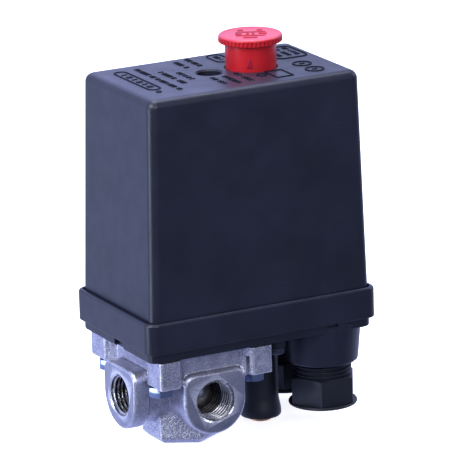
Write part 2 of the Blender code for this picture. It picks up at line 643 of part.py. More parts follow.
def make_range_spring_set(steel, plated):
    spring_range = (LEVER_Z[1] + GAP, NUT_Z[0] - GAP)
    finish(coil_spring("range_spring", (0, 0), spring_range, 6.9 * MM, 1.1 * MM, 6), steel)
    nut_half_y = CHEEK_INNER - GAP
    nut = box("spring_nut", (-9 * MM, -nut_half_y, NUT_Z[0]), (9 * MM, nut_half_y, NUT_Z[1]))
    cut(nut, cylinder("nut_bore", (0, 0), (NUT_Z[0] - 1 * MM, NUT_Z[1] + 1 * MM), SCREW_R + GAP, sides=24))
    finish(nut, plated)
    head_low = FRAME_TOP + 0.1 * MM + GAP
    head_high = head_low + 4.0 * MM
    screw = hexagon("adjusting_screw", (0, 0), (head_low, head_high), 10.0 * MM)
    join(screw, cylinder("screw_shank", (0, 0), (SHANK_BOTTOM, head_low + 1 * MM), SCREW_R, sides=24))
    slot_low = (-8 * MM, -0.6 * MM, head_high - 1.4 * MM)
    slot_high = (8 * MM, 0.6 * MM, head_high + 1 * MM)
    cut(screw, box("screw_slot", slot_low, slot_high))
    finish(screw, plated)


def make_lever(plated, steel):
    ear_inner = 10.0 * MM
    ear_outer = 11.6 * MM
    pivot = (PIVOT[0], 0.0, PIVOT[1])
    lever = box("lever", (-9 * MM, -ear_outer, LEVER_Z[0]), (20 * MM, ear_outer, LEVER_Z[1]), origin=pivot)
    join(lever, box("lever_tail", (18 * MM, -4.5 * MM, LEVER_Z[0]), (31 * MM, 4.5 * MM, LEVER_Z[1])))
    for side in (-1, 1):
        low_y, high_y = sorted((side * ear_inner, side * ear_outer))
        ear_low = PIVOT[1] - 3.4 * MM
        join(lever, box("ear", (8 * MM, low_y, ear_low), (16 * MM, high_y, LEVER_Z[0] + 1 * MM)))
    pin_start = (PIVOT[0], -30 * MM, PIVOT[1])
    cut(lever, lying_cylinder("ear_hole", pin_start, (0, 1, 0), 60 * MM, PIVOT_R + GAP, sides=20))
    finish(lever, plated)
    start = (PIVOT[0], -16.8 * MM, PIVOT[1])
    finish(lying_cylinder("lever_pin", start, (0, 1, 0), 33.6 * MM, PIVOT_R, sides=20), steel)


# ---------------------------------------------------------------- contacts and terminals

def make_contact_carrier(material, copper):
    carrier = box("contact_carrier", (CARRIER_X - 3 * MM, -18.4 * MM, CARRIER_Z[0]),
                  (CARRIER_X + 3 * MM, 18.4 * MM, CARRIER_Z[1]))
    foot_low = (CARRIER_X - 1.4 * MM, -4 * MM, LEVER_Z[1] + GAP)
    foot_high = (CARRIER_X + 1.4 * MM, 4 * MM, CARRIER_Z[0] + 1 * MM)
    join(carrier, box("carrier_foot", foot_low, foot_high))
    finish(carrier, material)
    low = CARRIER_Z[1] + GAP
    high = low + 1.2 * MM
    for name, ys in (("front", TERMINAL_Y[:2]), ("rear", TERMINAL_Y[2:])):
        start = (CARRIER_X - 2 * MM, ys[0] - 2.6 * MM, low)
        end = (CARRIER_X + 2 * MM, ys[1] + 2.6 * MM, high)
        bridge = box("contact_bridge_" + name, start, end)
        for y in ys:
            button_range = (high - 0.5 * MM, high + 0.5 * MM)
            join(bridge, cylinder("contact_button", (CARRIER_X, y), button_range, 1.6 * MM, sides=16))
        finish(bridge, copper)


def make_terminal_block(material):
    wall_low = (34.6 * MM, -19.6 * MM, FLOOR_TOP + GAP)
    block = box("terminal_block", wall_low, (37.0 * MM, 19.6 * MM, SHELF_Z[1]))
    join(block, box("shelf", (36 * MM, -19.6 * MM, SHELF_Z[0]), (46 * MM, 19.6 * MM, SHELF_Z[1])))
    rib_half = 0.6 * MM
    middles = [(TERMINAL_Y[i] + TERMINAL_Y[i + 1]) / 2 for i in range(3)]
    for y in middles:
        rib_low = (37.5 * MM, y - rib_half, SHELF_Z[1] - 1 * MM)
        rib_high = (45.5 * MM, y + rib_half, SHELF_Z[1] + 6 * MM)
        join(block, box("rib", rib_low, rib_high))
    for side in (-1, 1):
        low_y, high_y = sorted((side * 15.4 * MM, side * 19.6 * MM))
        foot_low = (21.2 * MM, low_y, FLOOR_TOP + GAP)
        join(block, box("foot", foot_low, (35 * MM, high_y, BLOCK_FOOT_TOP)))
        centre = (BLOCK_SCREW[0], side * BLOCK_SCREW[1])
        hole_range = (FLOOR_TOP - 1 * MM, BLOCK_FOOT_TOP + 1 * MM)
        cut(block, cylinder("foot_hole", centre, hole_range, BLOCK_SCREW_R + GAP, sides=12))
    for y in TERMINAL_Y:
        centre = (TERMINAL_SCREW_X, y)
        hole_range = (SHELF_Z[0] - 1 * MM, SHELF_Z[1] + 1 * MM)
        cut(block, cylinder("terminal_hole", centre, hole_range, 1.8 * MM, sides=16))
    return finish(block, material)


def make_block_screws(material):
    head_high = BLOCK_BOSS_BOTTOM - GAP
    head_low = head_high - 2.4 * MM
    profile = [(0.0, BLOCK_FOOT_TOP - 0.4 * MM), (BLOCK_SCREW_R, BLOCK_FOOT_TOP - 0.4 * MM),
               (BLOCK_SCREW_R, head_high), (2.8 * MM, head_high), (2.8 * MM, head_low + 0.8 * MM),
               (2.1 * MM, head_low), (0.0, head_low)]
    for name, side in (("front", -1), ("rear", 1)):
        centre = (BLOCK_SCREW[0], side * BLOCK_SCREW[1])
        finish(turned("block_screw_" + name, centre, profile, steps=16), material)


def make_terminals(copper, plated):
    plate_low = SHELF_Z[1] + GAP
    plate_high = plate_low + TERMINAL_PLATE
    for number, y in enumerate(TERMINAL_Y, start=1):
        low = (CARRIER_X - 2.4 * MM, y - 2.9 * MM, plate_low)
        high = (45.0 * MM, y + 2.9 * MM, plate_high)
        plate = box(f"terminal_{number}", low, high)
        centre = (TERMINAL_SCREW_X, y)
        hole_range = (plate_low - 1 * MM, plate_high + 1 * MM)
        cut(plate, cylinder("plate_hole", centre, hole_range, 1.8 * MM, sides=16))
        finish(plate, copper)
        head_low = plate_high + GAP
        head_high = head_low + 2.0 * MM
        profile = [(0.0, head_high), (2.3 * MM, head_high), (2.7 * MM, head_high - 0.4 * MM),
                   (2.7 * MM, head_low), (1.5 * MM, head_low), (1.5 * MM, SHELF_Z[0] + 1 * MM),
                   (0.0, SHELF_Z[0] + 1 * MM)]
        screw = turned(f"terminal_screw_{number}", centre, profile, steps=16)
        slot_low = (TERMINAL_SCREW_X - 4 * MM, y - 0.4 * MM, head_high - 0.8 * MM)
        slot_high = (TERMINAL_SCREW_X + 4 * MM, y + 0.4 * MM, head_high + 1 * MM)
        cut(screw, box("screw_slot", slot_low, slot_high))
        finish(screw, plated)


def make_earth_screw(material):
    centre = (-13.5 * MM, 0.0)
    low = FLOOR_TOP + GAP + FRAME_PLATE + GAP
    high = low + 2.2 * MM
    profile = [(0.0, high), (3.0 * MM, high), (3.5 * MM, high - 0.5 * MM), (3.5 * MM, low), (0.0, low)]
    screw = turned("earth_screw", centre, profile, steps=20)
    slots = (("earth_slot_x", 2.2 * MM, 0.45 * MM), ("earth_slot_y", 0.45 * MM, 2.2 * MM))
    for name, half_x, half_y in slots:
        slot_low = (centre[0] - half_x, -half_y, high - 1.2 * MM)
        slot_high = (centre[0] + half_x, half_y, high + 1 * MM)
        cut(screw, box(name, slot_low, slot_high))
    return finish(screw, material)


def build():
    global parts, cutters
    clear_scene()
    parts = new_collection("pressure_switch")
    cutters = new_collection("cutters")
    black = make_material("black_abs", (0.028, 0.031, 0.045), 0.38, 0.0)
    nylon = make_material("black_nylon", (0.012, 0.013, 0.018), 0.42, 0.0)
    red = make_material("red_plastic", (0.62, 0.03, 0.06), 0.3, 0.0)
    cast = make_material("cast_aluminium", (0.46, 0.47, 0.58), 0.45, 1.0)
    zinc = make_material("zinc_plated_steel", (0.66, 0.7, 0.78), 0.25, 1.0)
    steel = make_material("spring_steel", (0.42, 0.42, 0.44), 0.35, 1.0)
    brass = make_material("brass", (0.72, 0.45, 0.3), 0.3, 1.0)
    copper = make_material("contact_copper", (0.72, 0.42, 0.3), 0.35, 1.0)
    rubber = make_material("rubber", (0.02, 0.02, 0.02), 0.8, 0.0)
    bakelite = make_material("terminal_bakelite", (0.05, 0.04, 0.035), 0.5, 0.0)
    make_base_tray(black)
    make_cover(black)
    make_cover_screw(zinc)
    make_knob(red)
    make_knob_stem(nylon)
    make_manifold(cast)
    make_flange_bolts(zinc)
    make_gland("front", -1, 0.0, nylon, rubber)
    make_gland("rear", 1, REAR_GLAND_DROP, nylon, rubber)
    make_unloader(nylon, brass, steel)
    make_diaphragm_and_piston(rubber, nylon)
    make_mounting_frame(zinc)
    make_range_spring_set(steel, zinc)
    make_lever(zinc, steel)
    make_contact_carrier(bakelite, copper)
    make_terminal_block(bakelite)
    make_block_screws(zinc)
    make_terminals(copper, zinc)
    make_earth_screw(brass)


build()
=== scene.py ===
"""Looks of the pressure switch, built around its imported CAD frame. Lengths are in metres."""
import math
import random

import bmesh
import bpy
import numpy as np
from mathutils import Matrix, Vector, noise


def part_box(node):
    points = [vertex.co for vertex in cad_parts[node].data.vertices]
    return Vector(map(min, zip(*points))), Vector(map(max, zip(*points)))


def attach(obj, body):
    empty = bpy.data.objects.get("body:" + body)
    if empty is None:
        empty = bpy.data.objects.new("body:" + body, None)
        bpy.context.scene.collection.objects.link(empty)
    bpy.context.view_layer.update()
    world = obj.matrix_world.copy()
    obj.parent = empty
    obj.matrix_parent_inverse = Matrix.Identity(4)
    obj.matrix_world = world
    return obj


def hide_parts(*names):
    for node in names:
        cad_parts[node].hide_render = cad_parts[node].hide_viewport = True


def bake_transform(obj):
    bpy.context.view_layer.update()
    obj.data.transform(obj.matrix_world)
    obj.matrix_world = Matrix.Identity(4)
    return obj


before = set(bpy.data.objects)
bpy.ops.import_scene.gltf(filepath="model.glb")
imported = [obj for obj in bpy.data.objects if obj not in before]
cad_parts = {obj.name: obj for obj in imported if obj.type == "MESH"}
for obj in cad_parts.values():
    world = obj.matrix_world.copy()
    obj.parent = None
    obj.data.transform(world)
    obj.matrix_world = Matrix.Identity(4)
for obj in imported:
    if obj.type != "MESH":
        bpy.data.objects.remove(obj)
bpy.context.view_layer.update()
scene = bpy.context.scene

MM = 0.001
TAU = math.tau
ROUND = 96                        # facets round a smooth turned piece
UP = Vector((0, 0, 1))
BOOLEAN_MARGIN = 1 * MM           # how far a cutting shape runs past the surface it opens


def middle(node):
    low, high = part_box(node)
    return (low + high) / 2


# -------- mesh building

def link(name, mesh):
    obj = bpy.data.objects.new(name, mesh)
    scene.collection.objects.link(obj)
    return obj


def loft(name, rings, closed=False):
    """Quads between rings of equally many points, capped at both ends unless they close on themselves."""
    count = len(rings[0])
    verts = [tuple(point) for ring in rings for point in ring]
    faces = []
    for row in range(len(rings) if closed else len(rings) - 1):
        a, b = row * count, (row + 1) % len(rings) * count
        for i in range(count):
            j = (i + 1) % count
            faces.append((a + i, a + j, b + j, b + i))
    if not closed:
        last = (len(rings) - 1) * count
        faces += [tuple(reversed(range(count))), tuple(range(last, last + count))]
    mesh = bpy.data.meshes.new(name)
    mesh.from_pydata(verts, [], faces)
    return link(name, mesh)


def circle(centre, radius, z, sides=ROUND, phase=0.0):
    angles = [phase + TAU * i / sides for i in range(sides)]
    return [(centre[0] + radius * math.cos(a), centre[1] + radius * math.sin(a), z) for a in angles]


def turned(name, centre, profile, sides=ROUND, closed=False):
    """A turned piece about a vertical axis. The profile is (radius, height), up the outside."""
    return loft(name, [circle(centre, radius, z, sides) for radius, z in profile], closed)


def rod(name, centre, low, high, radius, sides=ROUND):
    return turned(name, centre, [(radius, low), (radius, high)], sides)


def stations(radius, z, offsets):
    """Profile points, given in mm from a radius and a height."""
    return [(radius + out * MM, z + rise * MM) for out, rise in offsets]


def round_rect(centre, half, corner, z, segments=8):
    """A rectangle with round corners, anticlockwise."""
    corner = max(corner, 0.02 * MM)
    points = []
    for quarter, (sx, sy) in enumerate(((1, 1), (-1, 1), (-1, -1), (1, -1))):
        cx = centre[0] + sx * (half[0] - corner)
        cy = centre[1] + sy * (half[1] - corner)
        for step in range(segments + 1):
            a = math.pi / 2 * (quarter + step / segments)
            points.append((cx + corner * math.cos(a), cy + corner * math.sin(a), z))
    return points


def block(name, low, high):
    corners = ((high[0], high[1]), (low[0], high[1]), (low[0], low[1]), (high[0], low[1]))
    return loft(name, [[(x, y, z) for x, y in corners] for z in (low[2], high[2])])


def fillet(radius, steps):
    """(inset, rise) pairs round a quarter circle, from the wall to the face."""
    for i in range(steps + 1):
        a = math.pi / 2 * i / steps
        yield radius * (1 - math.cos(a)), radius * math.sin(a)


def aim(obj, origin, direction):
    """Place a piece built along +Z so that it runs from origin along direction."""
    turn = UP.rotation_difference(Vector(direction)).to_matrix().to_4x4()
    obj.data.transform(Matrix.Translation(Vector(origin)) @ turn)
    return obj


def bake(obj):
    """Replace an object's mesh by what its modifiers make of it."""
    bpy.context.view_layer.update()
    graph = bpy.context.evaluated_depsgraph_get()
    mesh = bpy.data.meshes.new_from_object(obj.evaluated_get(graph))
    obj.modifiers.clear()
    obj.data = mesh
    return obj


def combine(obj, tools, operation):
    for tool in tools:
        modifier = obj.modifiers.new("combine", "BOOLEAN")
        modifier.operation = operation
        modifier.object = tool
        modifier.solver = "MANIFOLD"
        bake(obj)
        bpy.data.objects.remove(tool)
    return obj


def cut(obj, *tools):
    return combine(obj, tools, "DIFFERENCE")


def join(obj, *tools):
    return combine(obj, tools, "UNION")


def meet(obj, *tools):
    return combine(obj, tools, "INTERSECT")


def gather(name, pieces):
    """One object from several loose ones."""
    bm = bmesh.new()
    for piece in pieces:
        bm.from_mesh(piece.data)
        bpy.data.objects.remove(piece)
    mesh = bpy.data.meshes.new(name)
    bm.to_mesh(mesh)
    bm.free()
    return link(name, mesh)


def shade(obj, degrees=34.0):
    obj.data.shade_smooth()
    obj.data.set_sharp_from_angle(angle=math.radians(degrees))


def weigh(obj):
    """Keep flat faces flat beside their fillets."""
    modifier = obj.modifiers.new("normals", "WEIGHTED_NORMAL")
    modifier.keep_sharp = True


def soften(obj, width, segments, degrees):
    """A small round on each sharp edge."""
    modifier = obj.modifiers.new("edges", "BEVEL")
    modifier.width = width
    modifier.segments = segments
    modifier.limit_method = "ANGLE"
    modifier.angle_limit = math.radians(degrees)


def thread(name, mean, depth, pitch, length, sides=ROUND, per_pitch=10):
    """A rod with a helical thread, along +Z from the origin."""
    rows = max(2, int(length / pitch * per_pitch))
    rings = []
    for row in range(rows + 1):
        z = length * row / rows
        ring = []
        for i in range(sides):
            wave = (z / pitch - i / sides) % 1.0
            tooth = min(1.0, max(0.0, 2.2 * abs(2 * wave - 1) - 0.6))
            radius = mean + depth * (tooth - 0.5)
            a = TAU * i / sides
            ring.append((radius * math.cos(a), radius * math.sin(a), z))
        rings.append(ring)
    return loft(name, rings)


def place(obj, body, slot, material, *nodes):
    """Give a finished piece its looks and its body, and hide the CAD nodes that it stands for."""
    obj.data.materials.clear()
    obj.data.materials.append(material)
    if nodes:
        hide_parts(*nodes)
    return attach(obj, body)


# -------- materials

class Nodes:
    """Short ways to write a node tree."""

    def __init__(self, tree):
        self.tree = tree

    def node(self, kind, **settings):
        node = self.tree.nodes.new(kind)
        for key, value in settings.items():
            setattr(node, key, value)
        return node

    def wire(self, source, target):
        self.tree.links.new(source, target)

    def remap(self, value, low, high, to_low, to_high, **settings):
        node = self.node("ShaderNodeMapRange", **settings)
        for key, number in zip(("From Min", "From Max", "To Min", "To Max"), (low, high, to_low, to_high)):
            node.inputs[key].default_value = number
        self.wire(value, node.inputs["Value"])
        return node.outputs["Result"]

    def mix(self, share, first, second):
        """Blend two colours, or sockets, by share."""
        node = self.node("ShaderNodeMix", data_type="RGBA")
        self.wire(share, node.inputs["Factor"])
        for socket, value in ((node.inputs[6], first), (node.inputs[7], second)):
            if isinstance(value, tuple):
                socket.default_value = (*value, 1.0)
            else:
                self.wire(value, socket)
        return node.outputs[2]

    def sum(self, first, second, weight=1.0):
        node = self.node("ShaderNodeMath", operation="MULTIPLY_ADD")
        self.wire(second, node.inputs[0])
        node.inputs[1].default_value = weight
        self.wire(first, node.inputs[2])
        return node.outputs[0]

    def times(self, first, second):
        node = self.node("ShaderNodeMath", operation="MULTIPLY")
        self.wire(first, node.inputs[0])
        self.wire(second, node.inputs[1])
        return node.outputs[0]

    def parts(self, vector):
        """The X, Y and Z of a vector."""
        node = self.node("ShaderNodeSeparateXYZ")
        self.wire(vector, node.inputs[0])
        return node.outputs


class Look(Nodes):
    """A Principled material whose colour, roughness and relief come from procedural textures."""

    def __init__(self, name, metallic=0.0, specular=0.5):
        self.material = bpy.data.materials.new(name)
        self.material.use_nodes = True
        super().__init__(self.material.node_tree)
        self.shader = self.tree.nodes["Principled BSDF"]
        self.shader.inputs["Metallic"].default_value = metallic
        self.shader.inputs["Specular IOR Level"].default_value = specular
        self.coordinates = self.node("ShaderNodeTexCoord").outputs
        self.place = self.coordinates["Object"]

    def noise(self, size, detail=3.0, seed=0.0):
        """Smooth noise whose features are about size across."""
        node = self.node("ShaderNodeTexNoise")
        node.inputs["Scale"].default_value = 1.0 / size
        node.inputs["Detail"].default_value = detail
        mapping = self.node("ShaderNodeMapping")
        mapping.inputs["Location"].default_value = (seed, seed * 0.7, seed * 0.3)
        self.wire(self.place, mapping.inputs["Vector"])
        self.wire(mapping.outputs["Vector"], node.inputs["Vector"])
        return node.outputs["Fac"]

    def grains(self, size):
        """Distance to the nearest of many scattered points, in grains of about that size."""
        node = self.node("ShaderNodeTexVoronoi")
        node.inputs["Scale"].default_value = 1.0 / size
        self.wire(self.place, node.inputs["Vector"])
        return node.outputs["Distance"]

    def attribute(self, name):
        return self.node("ShaderNodeAttribute", attribute_name=name).outputs["Fac"]

    def finish(self, colour, roughness, height, relief):
        """Relief is the height in metres that a full step of the height texture stands for."""
        self.wire(colour, self.shader.inputs["Base Color"])
        self.wire(roughness, self.shader.inputs["Roughness"])
        bump = self.node("ShaderNodeBump")
        bump.inputs["Distance"].default_value = relief
        self.wire(height, bump.inputs["Height"])
        self.wire(bump.outputs["Normal"], self.shader.inputs["Normal"])
        return self.material


def moulded_plastic(name, colour, roughness, specular=0.5, dust=(0.16, 0.18, 0.26), dust_limit=0.05,
                    relief=0.006 * MM, painted_sheen=False):
    """Moulded plastic: faint flow marks, a fine grain and a few specks of dust."""
    look = Look(name, specular=specular)
    darker = tuple(0.78 * c for c in colour)
    lighter = tuple(1.22 * c for c in colour)
    flow = look.remap(look.noise(22 * MM, 4.0), 0.35, 0.65, 0.0, 1.0)
    base = look.mix(flow, darker, lighter)
    specks = look.remap(look.grains(2.6 * MM), dust_limit * 0.55, dust_limit, 1.0, 0.0)
    patches = look.remap(look.noise(9 * MM, 2.0, seed=3.0), 0.52, 0.62, 0.0, 0.8)
    base = look.mix(look.times(specks, patches), base, dust)
    # Painted sheen: upward faces lightened where a reflection of the light would fall.
    if painted_sheen:
        base = paint_top_sheen(look, base)
    fine = look.noise(0.22 * MM)
    rough = look.remap(look.noise(6 * MM, 5.0, seed=1.0), 0.3, 0.7, roughness - 0.05, roughness + 0.05)
    return look.finish(base, rough, fine, relief)


def plated_steel(name, colour, roughness=0.28):
    look = Look(name, metallic=1.0)
    tint = look.remap(look.noise(2.2 * MM, 4.0), 0.35, 0.65, 0.0, 1.0)
    base = look.mix(tint, tuple(0.72 * c for c in colour), colour)
    rough = look.remap(look.noise(0.9 * MM, 5.0, seed=2.0), 0.3, 0.7, roughness - 0.05, roughness + 0.08)
    return look.finish(base, rough, look.noise(0.35 * MM, 4.0), 0.004 * MM)


def cast_metal(name, colour, dark, roughness, relief, grain, wear_and_highlight_colour, least_glint_share=0.1):
    """Cast aluminium: coarse on its sand-rough skin with painted glints, lighter on edges (partly real wear,
    partly painted highlight), and painted shade in hollows.
    """
    look = Look(name, metallic=0.85)
    blotch = look.remap(look.noise(3.5 * MM, 5.0), 0.34, 0.66, 0.0, 1.0)
    base = look.mix(blotch, dark, colour)
    sand = look.attribute("sand")
    # Painted glints: bright specks in the colour, strongest on the sand-rough skin.
    painted_glint_mask = look.remap(look.noise(grain, 2.0, seed=5.0), 0.42, 0.60, 0.0, 1.0)
    painted_glint_colour = look.mix(painted_glint_mask, tuple(1.5 * c for c in dark), wear_and_highlight_colour)
    base = look.mix(look.remap(sand, 0.0, 1.0, least_glint_share, 0.85), base, painted_glint_colour)
    # Ridges lighten towards the edge colour: partly real wear, partly painted highlight.
    convexity = look.remap(look.attribute("convexity"), 0.545, 0.65, 0.0, 0.95)
    base = look.mix(convexity, base, wear_and_highlight_colour)
    # Painted shade: hollows darkened towards a third of the dark colour.
    painted_hollow_shade = look.remap(look.attribute("convexity"), 0.30, 0.475, 0.8, 0.0)
    base = look.mix(painted_hollow_shade, base, tuple(0.3 * c for c in dark))
    rough = look.remap(look.noise(grain * 2, 3.0, seed=4.0), 0.3, 0.7, roughness - 0.1, roughness + 0.12)
    fine = look.times(look.noise(grain, 3.0), look.remap(sand, 0.0, 1.0, 0.4, 1.0))
    height = look.sum(fine, look.noise(grain * 6, 4.0, seed=7.0), 0.7)
    return look.finish(base, rough, height, relief)


def paint_top_sheen(look, base):
    """Painted sheen on faces that look up: a lighter lavender, strongest towards -X and faint at the far end,
    standing in for a reflection of the light.
    """
    upward = look.remap(look.parts(look.coordinates["Normal"])["Z"], 0.75, 0.98, 0.0, 1.0)
    along = look.remap(look.parts(look.place)["X"], -24 * MM, 44 * MM, 1.0, 0.0)
    patches = look.remap(look.noise(14 * MM, 4.0, seed=9.0), 0.35, 0.65, 0.75, 1.0)
    return look.mix(look.times(look.times(upward, along), patches), base, PAINTED_SHEEN)


# Lavender colour of the painted sheen on the cover's top.
PAINTED_SHEEN = (0.055, 0.060, 0.105)
BLACK = (0.0110, 0.0130, 0.0265)
black_abs = moulded_plastic("black_abs_satin", BLACK, 0.36)
black_cover = moulded_plastic("black_abs_painted_sheen", BLACK, 0.36, painted_sheen=True)
black_marks = moulded_plastic("black_abs_marks", tuple(0.6 * c for c in BLACK), 0.62, specular=0.12)
black_nylon = moulded_plastic("black_nylon_matt", (0.0105, 0.0120, 0.0200), 0.44, specular=0.4)
red_plastic = moulded_plastic("red_plastic_gloss", (0.46, 0.010, 0.016), 0.33, specular=0.35,
                              dust=(0.75, 0.25, 0.3), dust_limit=0.03, relief=0.003 * MM)
# A lighter, pinker copy of the red for the knob's top faces: painted sheen.
red_top_painted_sheen = moulded_plastic("red_plastic_top_painted_sheen", (0.62, 0.045, 0.085), 0.30, specular=0.9,
                           dust=(0.85, 0.45, 0.5), dust_limit=0.03, relief=0.003 * MM)
red_marks = moulded_plastic("red_plastic_marks", (0.34, 0.010, 0.03), 0.45, specular=0.3,
                            dust_limit=0.03, relief=0.003 * MM)
bakelite = moulded_plastic("terminal_bakelite_dull", (0.055, 0.030, 0.020), 0.5)
rubber = moulded_plastic("rubber_seal_dull", (0.018, 0.018, 0.020), 0.75, specular=0.3)
cast_rough = cast_metal("cast_aluminium_rough", (0.51, 0.52, 0.67), (0.22, 0.23, 0.32), 0.38, 0.20 * MM,
                        0.32 * MM, (0.97, 0.97, 1.0), least_glint_share=0.5)
cast_machined = cast_metal("cast_aluminium_machined", (0.40, 0.41, 0.49), (0.28, 0.29, 0.37), 0.34,
                           0.014 * MM, 0.30 * MM, (0.90, 0.91, 1.0))
# Threads, mouths and drilled bores: the metal darkened, a painted shade inside the ports.
bored_painted_shade = cast_metal("cast_aluminium_bored_painted_shade", (0.22, 0.22, 0.25), (0.08, 0.08, 0.10), 0.24,
                        0.012 * MM, 0.30 * MM, (0.85, 0.85, 0.88))
# Near black: painted shadow deep in the side ports.
deep_painted_shadow = cast_metal("cast_aluminium_deep_painted_shadow", (0.040, 0.036, 0.036), (0.020, 0.018, 0.020), 0.5,
                       0.012 * MM, 0.30 * MM, (0.10, 0.10, 0.11))
zinc = plated_steel("zinc_plated_steel_bright", (0.60, 0.68, 0.80), 0.14)
blue_zinc = plated_steel("zinc_plated_steel_blue", (0.34, 0.42, 0.60), 0.14)
dark_steel = plated_steel("zinc_plated_steel_dark", (0.13, 0.14, 0.17), 0.34)
spring_steel = plated_steel("spring_steel_drawn", (0.45, 0.46, 0.48), 0.34)
brass = plated_steel("brass_turned", (0.90, 0.50, 0.26), 0.30)
copper = plated_steel("contact_copper_strip", (0.78, 0.42, 0.28), 0.32)


# -------- cover

COVER_CORNER = 2.8 * MM
COVER_FILLET = 2.6 * MM
COVER_LEAN = (1.95 * MM, 1.2 * MM)
COVER_SHIFT = 0.4 * MM
WALL = 2.0 * MM
WELL_R = 3.95 * MM                # of the well over the cover's screw
BORE_R = 8.3 * MM                 # of the bore that the knob slides in

cover_low, cover_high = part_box("cover")
knob_low, knob_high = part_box("knob")
well_axis = middle("cover_screw")
knob_axis = middle("knob")


def cover_ring(z, inset=0.0, corner=COVER_CORNER):
    """The cover's outline at height z: its walls lean in towards the top."""
    share = (z - cover_low.z) / (cover_high.z - cover_low.z)
    centre_x = (cover_low.x + cover_high.x) / 2 + COVER_SHIFT * share
    half_x = (cover_high.x - cover_low.x) / 2 - COVER_LEAN[0] * share - inset
    half_y = (cover_high.y - cover_low.y) / 2 - COVER_LEAN[1] * share - inset
    return round_rect((centre_x, 0.0), (half_x, half_y), corner - 0.75 * inset, z, 10)


def build_cover():
    top = cover_high.z
    ceiling = top - WALL
    inner = [cover_ring(ceiling, WALL + 1.0 * MM, 1.6 * MM), cover_ring(ceiling - 1.0 * MM, WALL, 2.3 * MM),
             cover_ring(cover_low.z + 0.3 * MM, WALL, 2.3 * MM),
             cover_ring(cover_low.z, WALL + 0.1 * MM, 2.3 * MM)]
    outer = [cover_ring(cover_low.z, 0.35 * MM), cover_ring(cover_low.z + 0.35 * MM)]
    for inset, rise in fillet(COVER_FILLET, 12):
        outer.append(cover_ring(top - COVER_FILLET + rise, inset))
    cover = loft("cover_shell", inner + outer)
    well_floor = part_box("cover_screw")[1].z - 3.3 * MM
    join(cover, rod("well", well_axis, well_floor - 2 * MM, top - 1 * MM, WELL_R + 1.65 * MM),
         rod("guide", knob_axis, knob_low.z + 1 * MM, top - 1 * MM, BORE_R + 1.9 * MM))
    well = turned("well_bore", well_axis, [(WELL_R, well_floor)] + stations(
        WELL_R, top, ((0, -0.5), (0.5, 0), (0.5, 1))))
    shank = rod("shank", well_axis, well_floor - 3 * MM, well_floor + 1 * MM, 2.3 * MM, sides=48)
    bore = turned("bore", knob_axis, [(BORE_R, knob_low.z - 1 * MM)] + stations(
        BORE_R, top, ((0, -0.1), (0.1, 0), (0.1, 1))))
    cut(cover, well, shank, bore)
    shade(cover)
    place(cover, "cover_body", "black_abs", black_cover, "cover")
    weigh(cover)


MARK_HEIGHT = 0.22 * MM
MARK_SINK = 0.15 * MM
MARK_EDGE = 0.08                  # mm
STROKE = 0.40                     # mm
mark_low, mark_high = cover_high.z - MARK_SINK, cover_high.z + MARK_HEIGHT


def mark_ring(x, y, half_x, half_y, corner, z, segments=8):
    """A rounded rectangle on the cover's top face. All but its height is in mm."""
    return round_rect((x * MM, y * MM), (half_x * MM, half_y * MM), corner * MM, z, segments)


def bar(x, y, half_x, half_y):
    """A raised bar, in mm."""
    return loft("bar", [mark_ring(x, y, half_x, half_y, 0.15, mark_low, 3),
                        mark_ring(x, y, half_x, half_y, 0.15, mark_high - MARK_EDGE * MM, 3),
                        mark_ring(x, y, half_x - MARK_EDGE, half_y - MARK_EDGE, 0.11, mark_high, 3)])


def outline(points_at, width):
    """A raised closed line: points_at(offset, height) gives its outline moved in by offset."""
    corners = ((0, mark_low), (0, mark_high), (width, mark_high), (width, mark_low))
    return loft("outline", [points_at(*corner) for corner in corners], closed=True)


def rounded_frame(x, y, half_x, half_y, corner, width=STROKE):
    return outline(lambda inset, z: mark_ring(x, y, half_x - inset, half_y - inset, corner - inset, z), width)


def ring_mark(x, y, radius, width=STROKE):
    return outline(lambda inset, z: circle((x * MM, y * MM), (radius - inset) * MM, z, 40), width)


def ticks(draw, x, low_y, high_y, height):
    """A row of short plain strokes where the real cover has a line of small print, in mm."""
    half = height / 2
    # Each kind: its length along the row, and its bars (offset across, offset along, half sizes)
    kinds = {"pair": (1.55, ((0, 0.2, half, 0.17), (0, 0.95, half, 0.17))),
             "single": (0.8, ((0, 0.2, half, 0.19),)),
             "cross": (1.45, ((0, 0.2, half, 0.17), (half - 0.2, 0.75, 0.17, 0.3))),
             "dots": (1.2, ((half / 2, 0.4, 0.2, 0.33), (-half / 2, 0.4, 0.2, 0.33))),
             "gap": (0.9, ())}
    strokes = []
    y, end = high_y * MM, low_y * MM + 1.2 * MM
    while y > end:
        length, bars = kinds[draw.choice(("pair", "single", "cross", "dots", "gap", "pair", "cross"))]
        strokes += [bar(x + across, y / MM - along, half_x, half_y) for across, along, half_x, half_y in bars]
        y -= length * MM
    return strokes


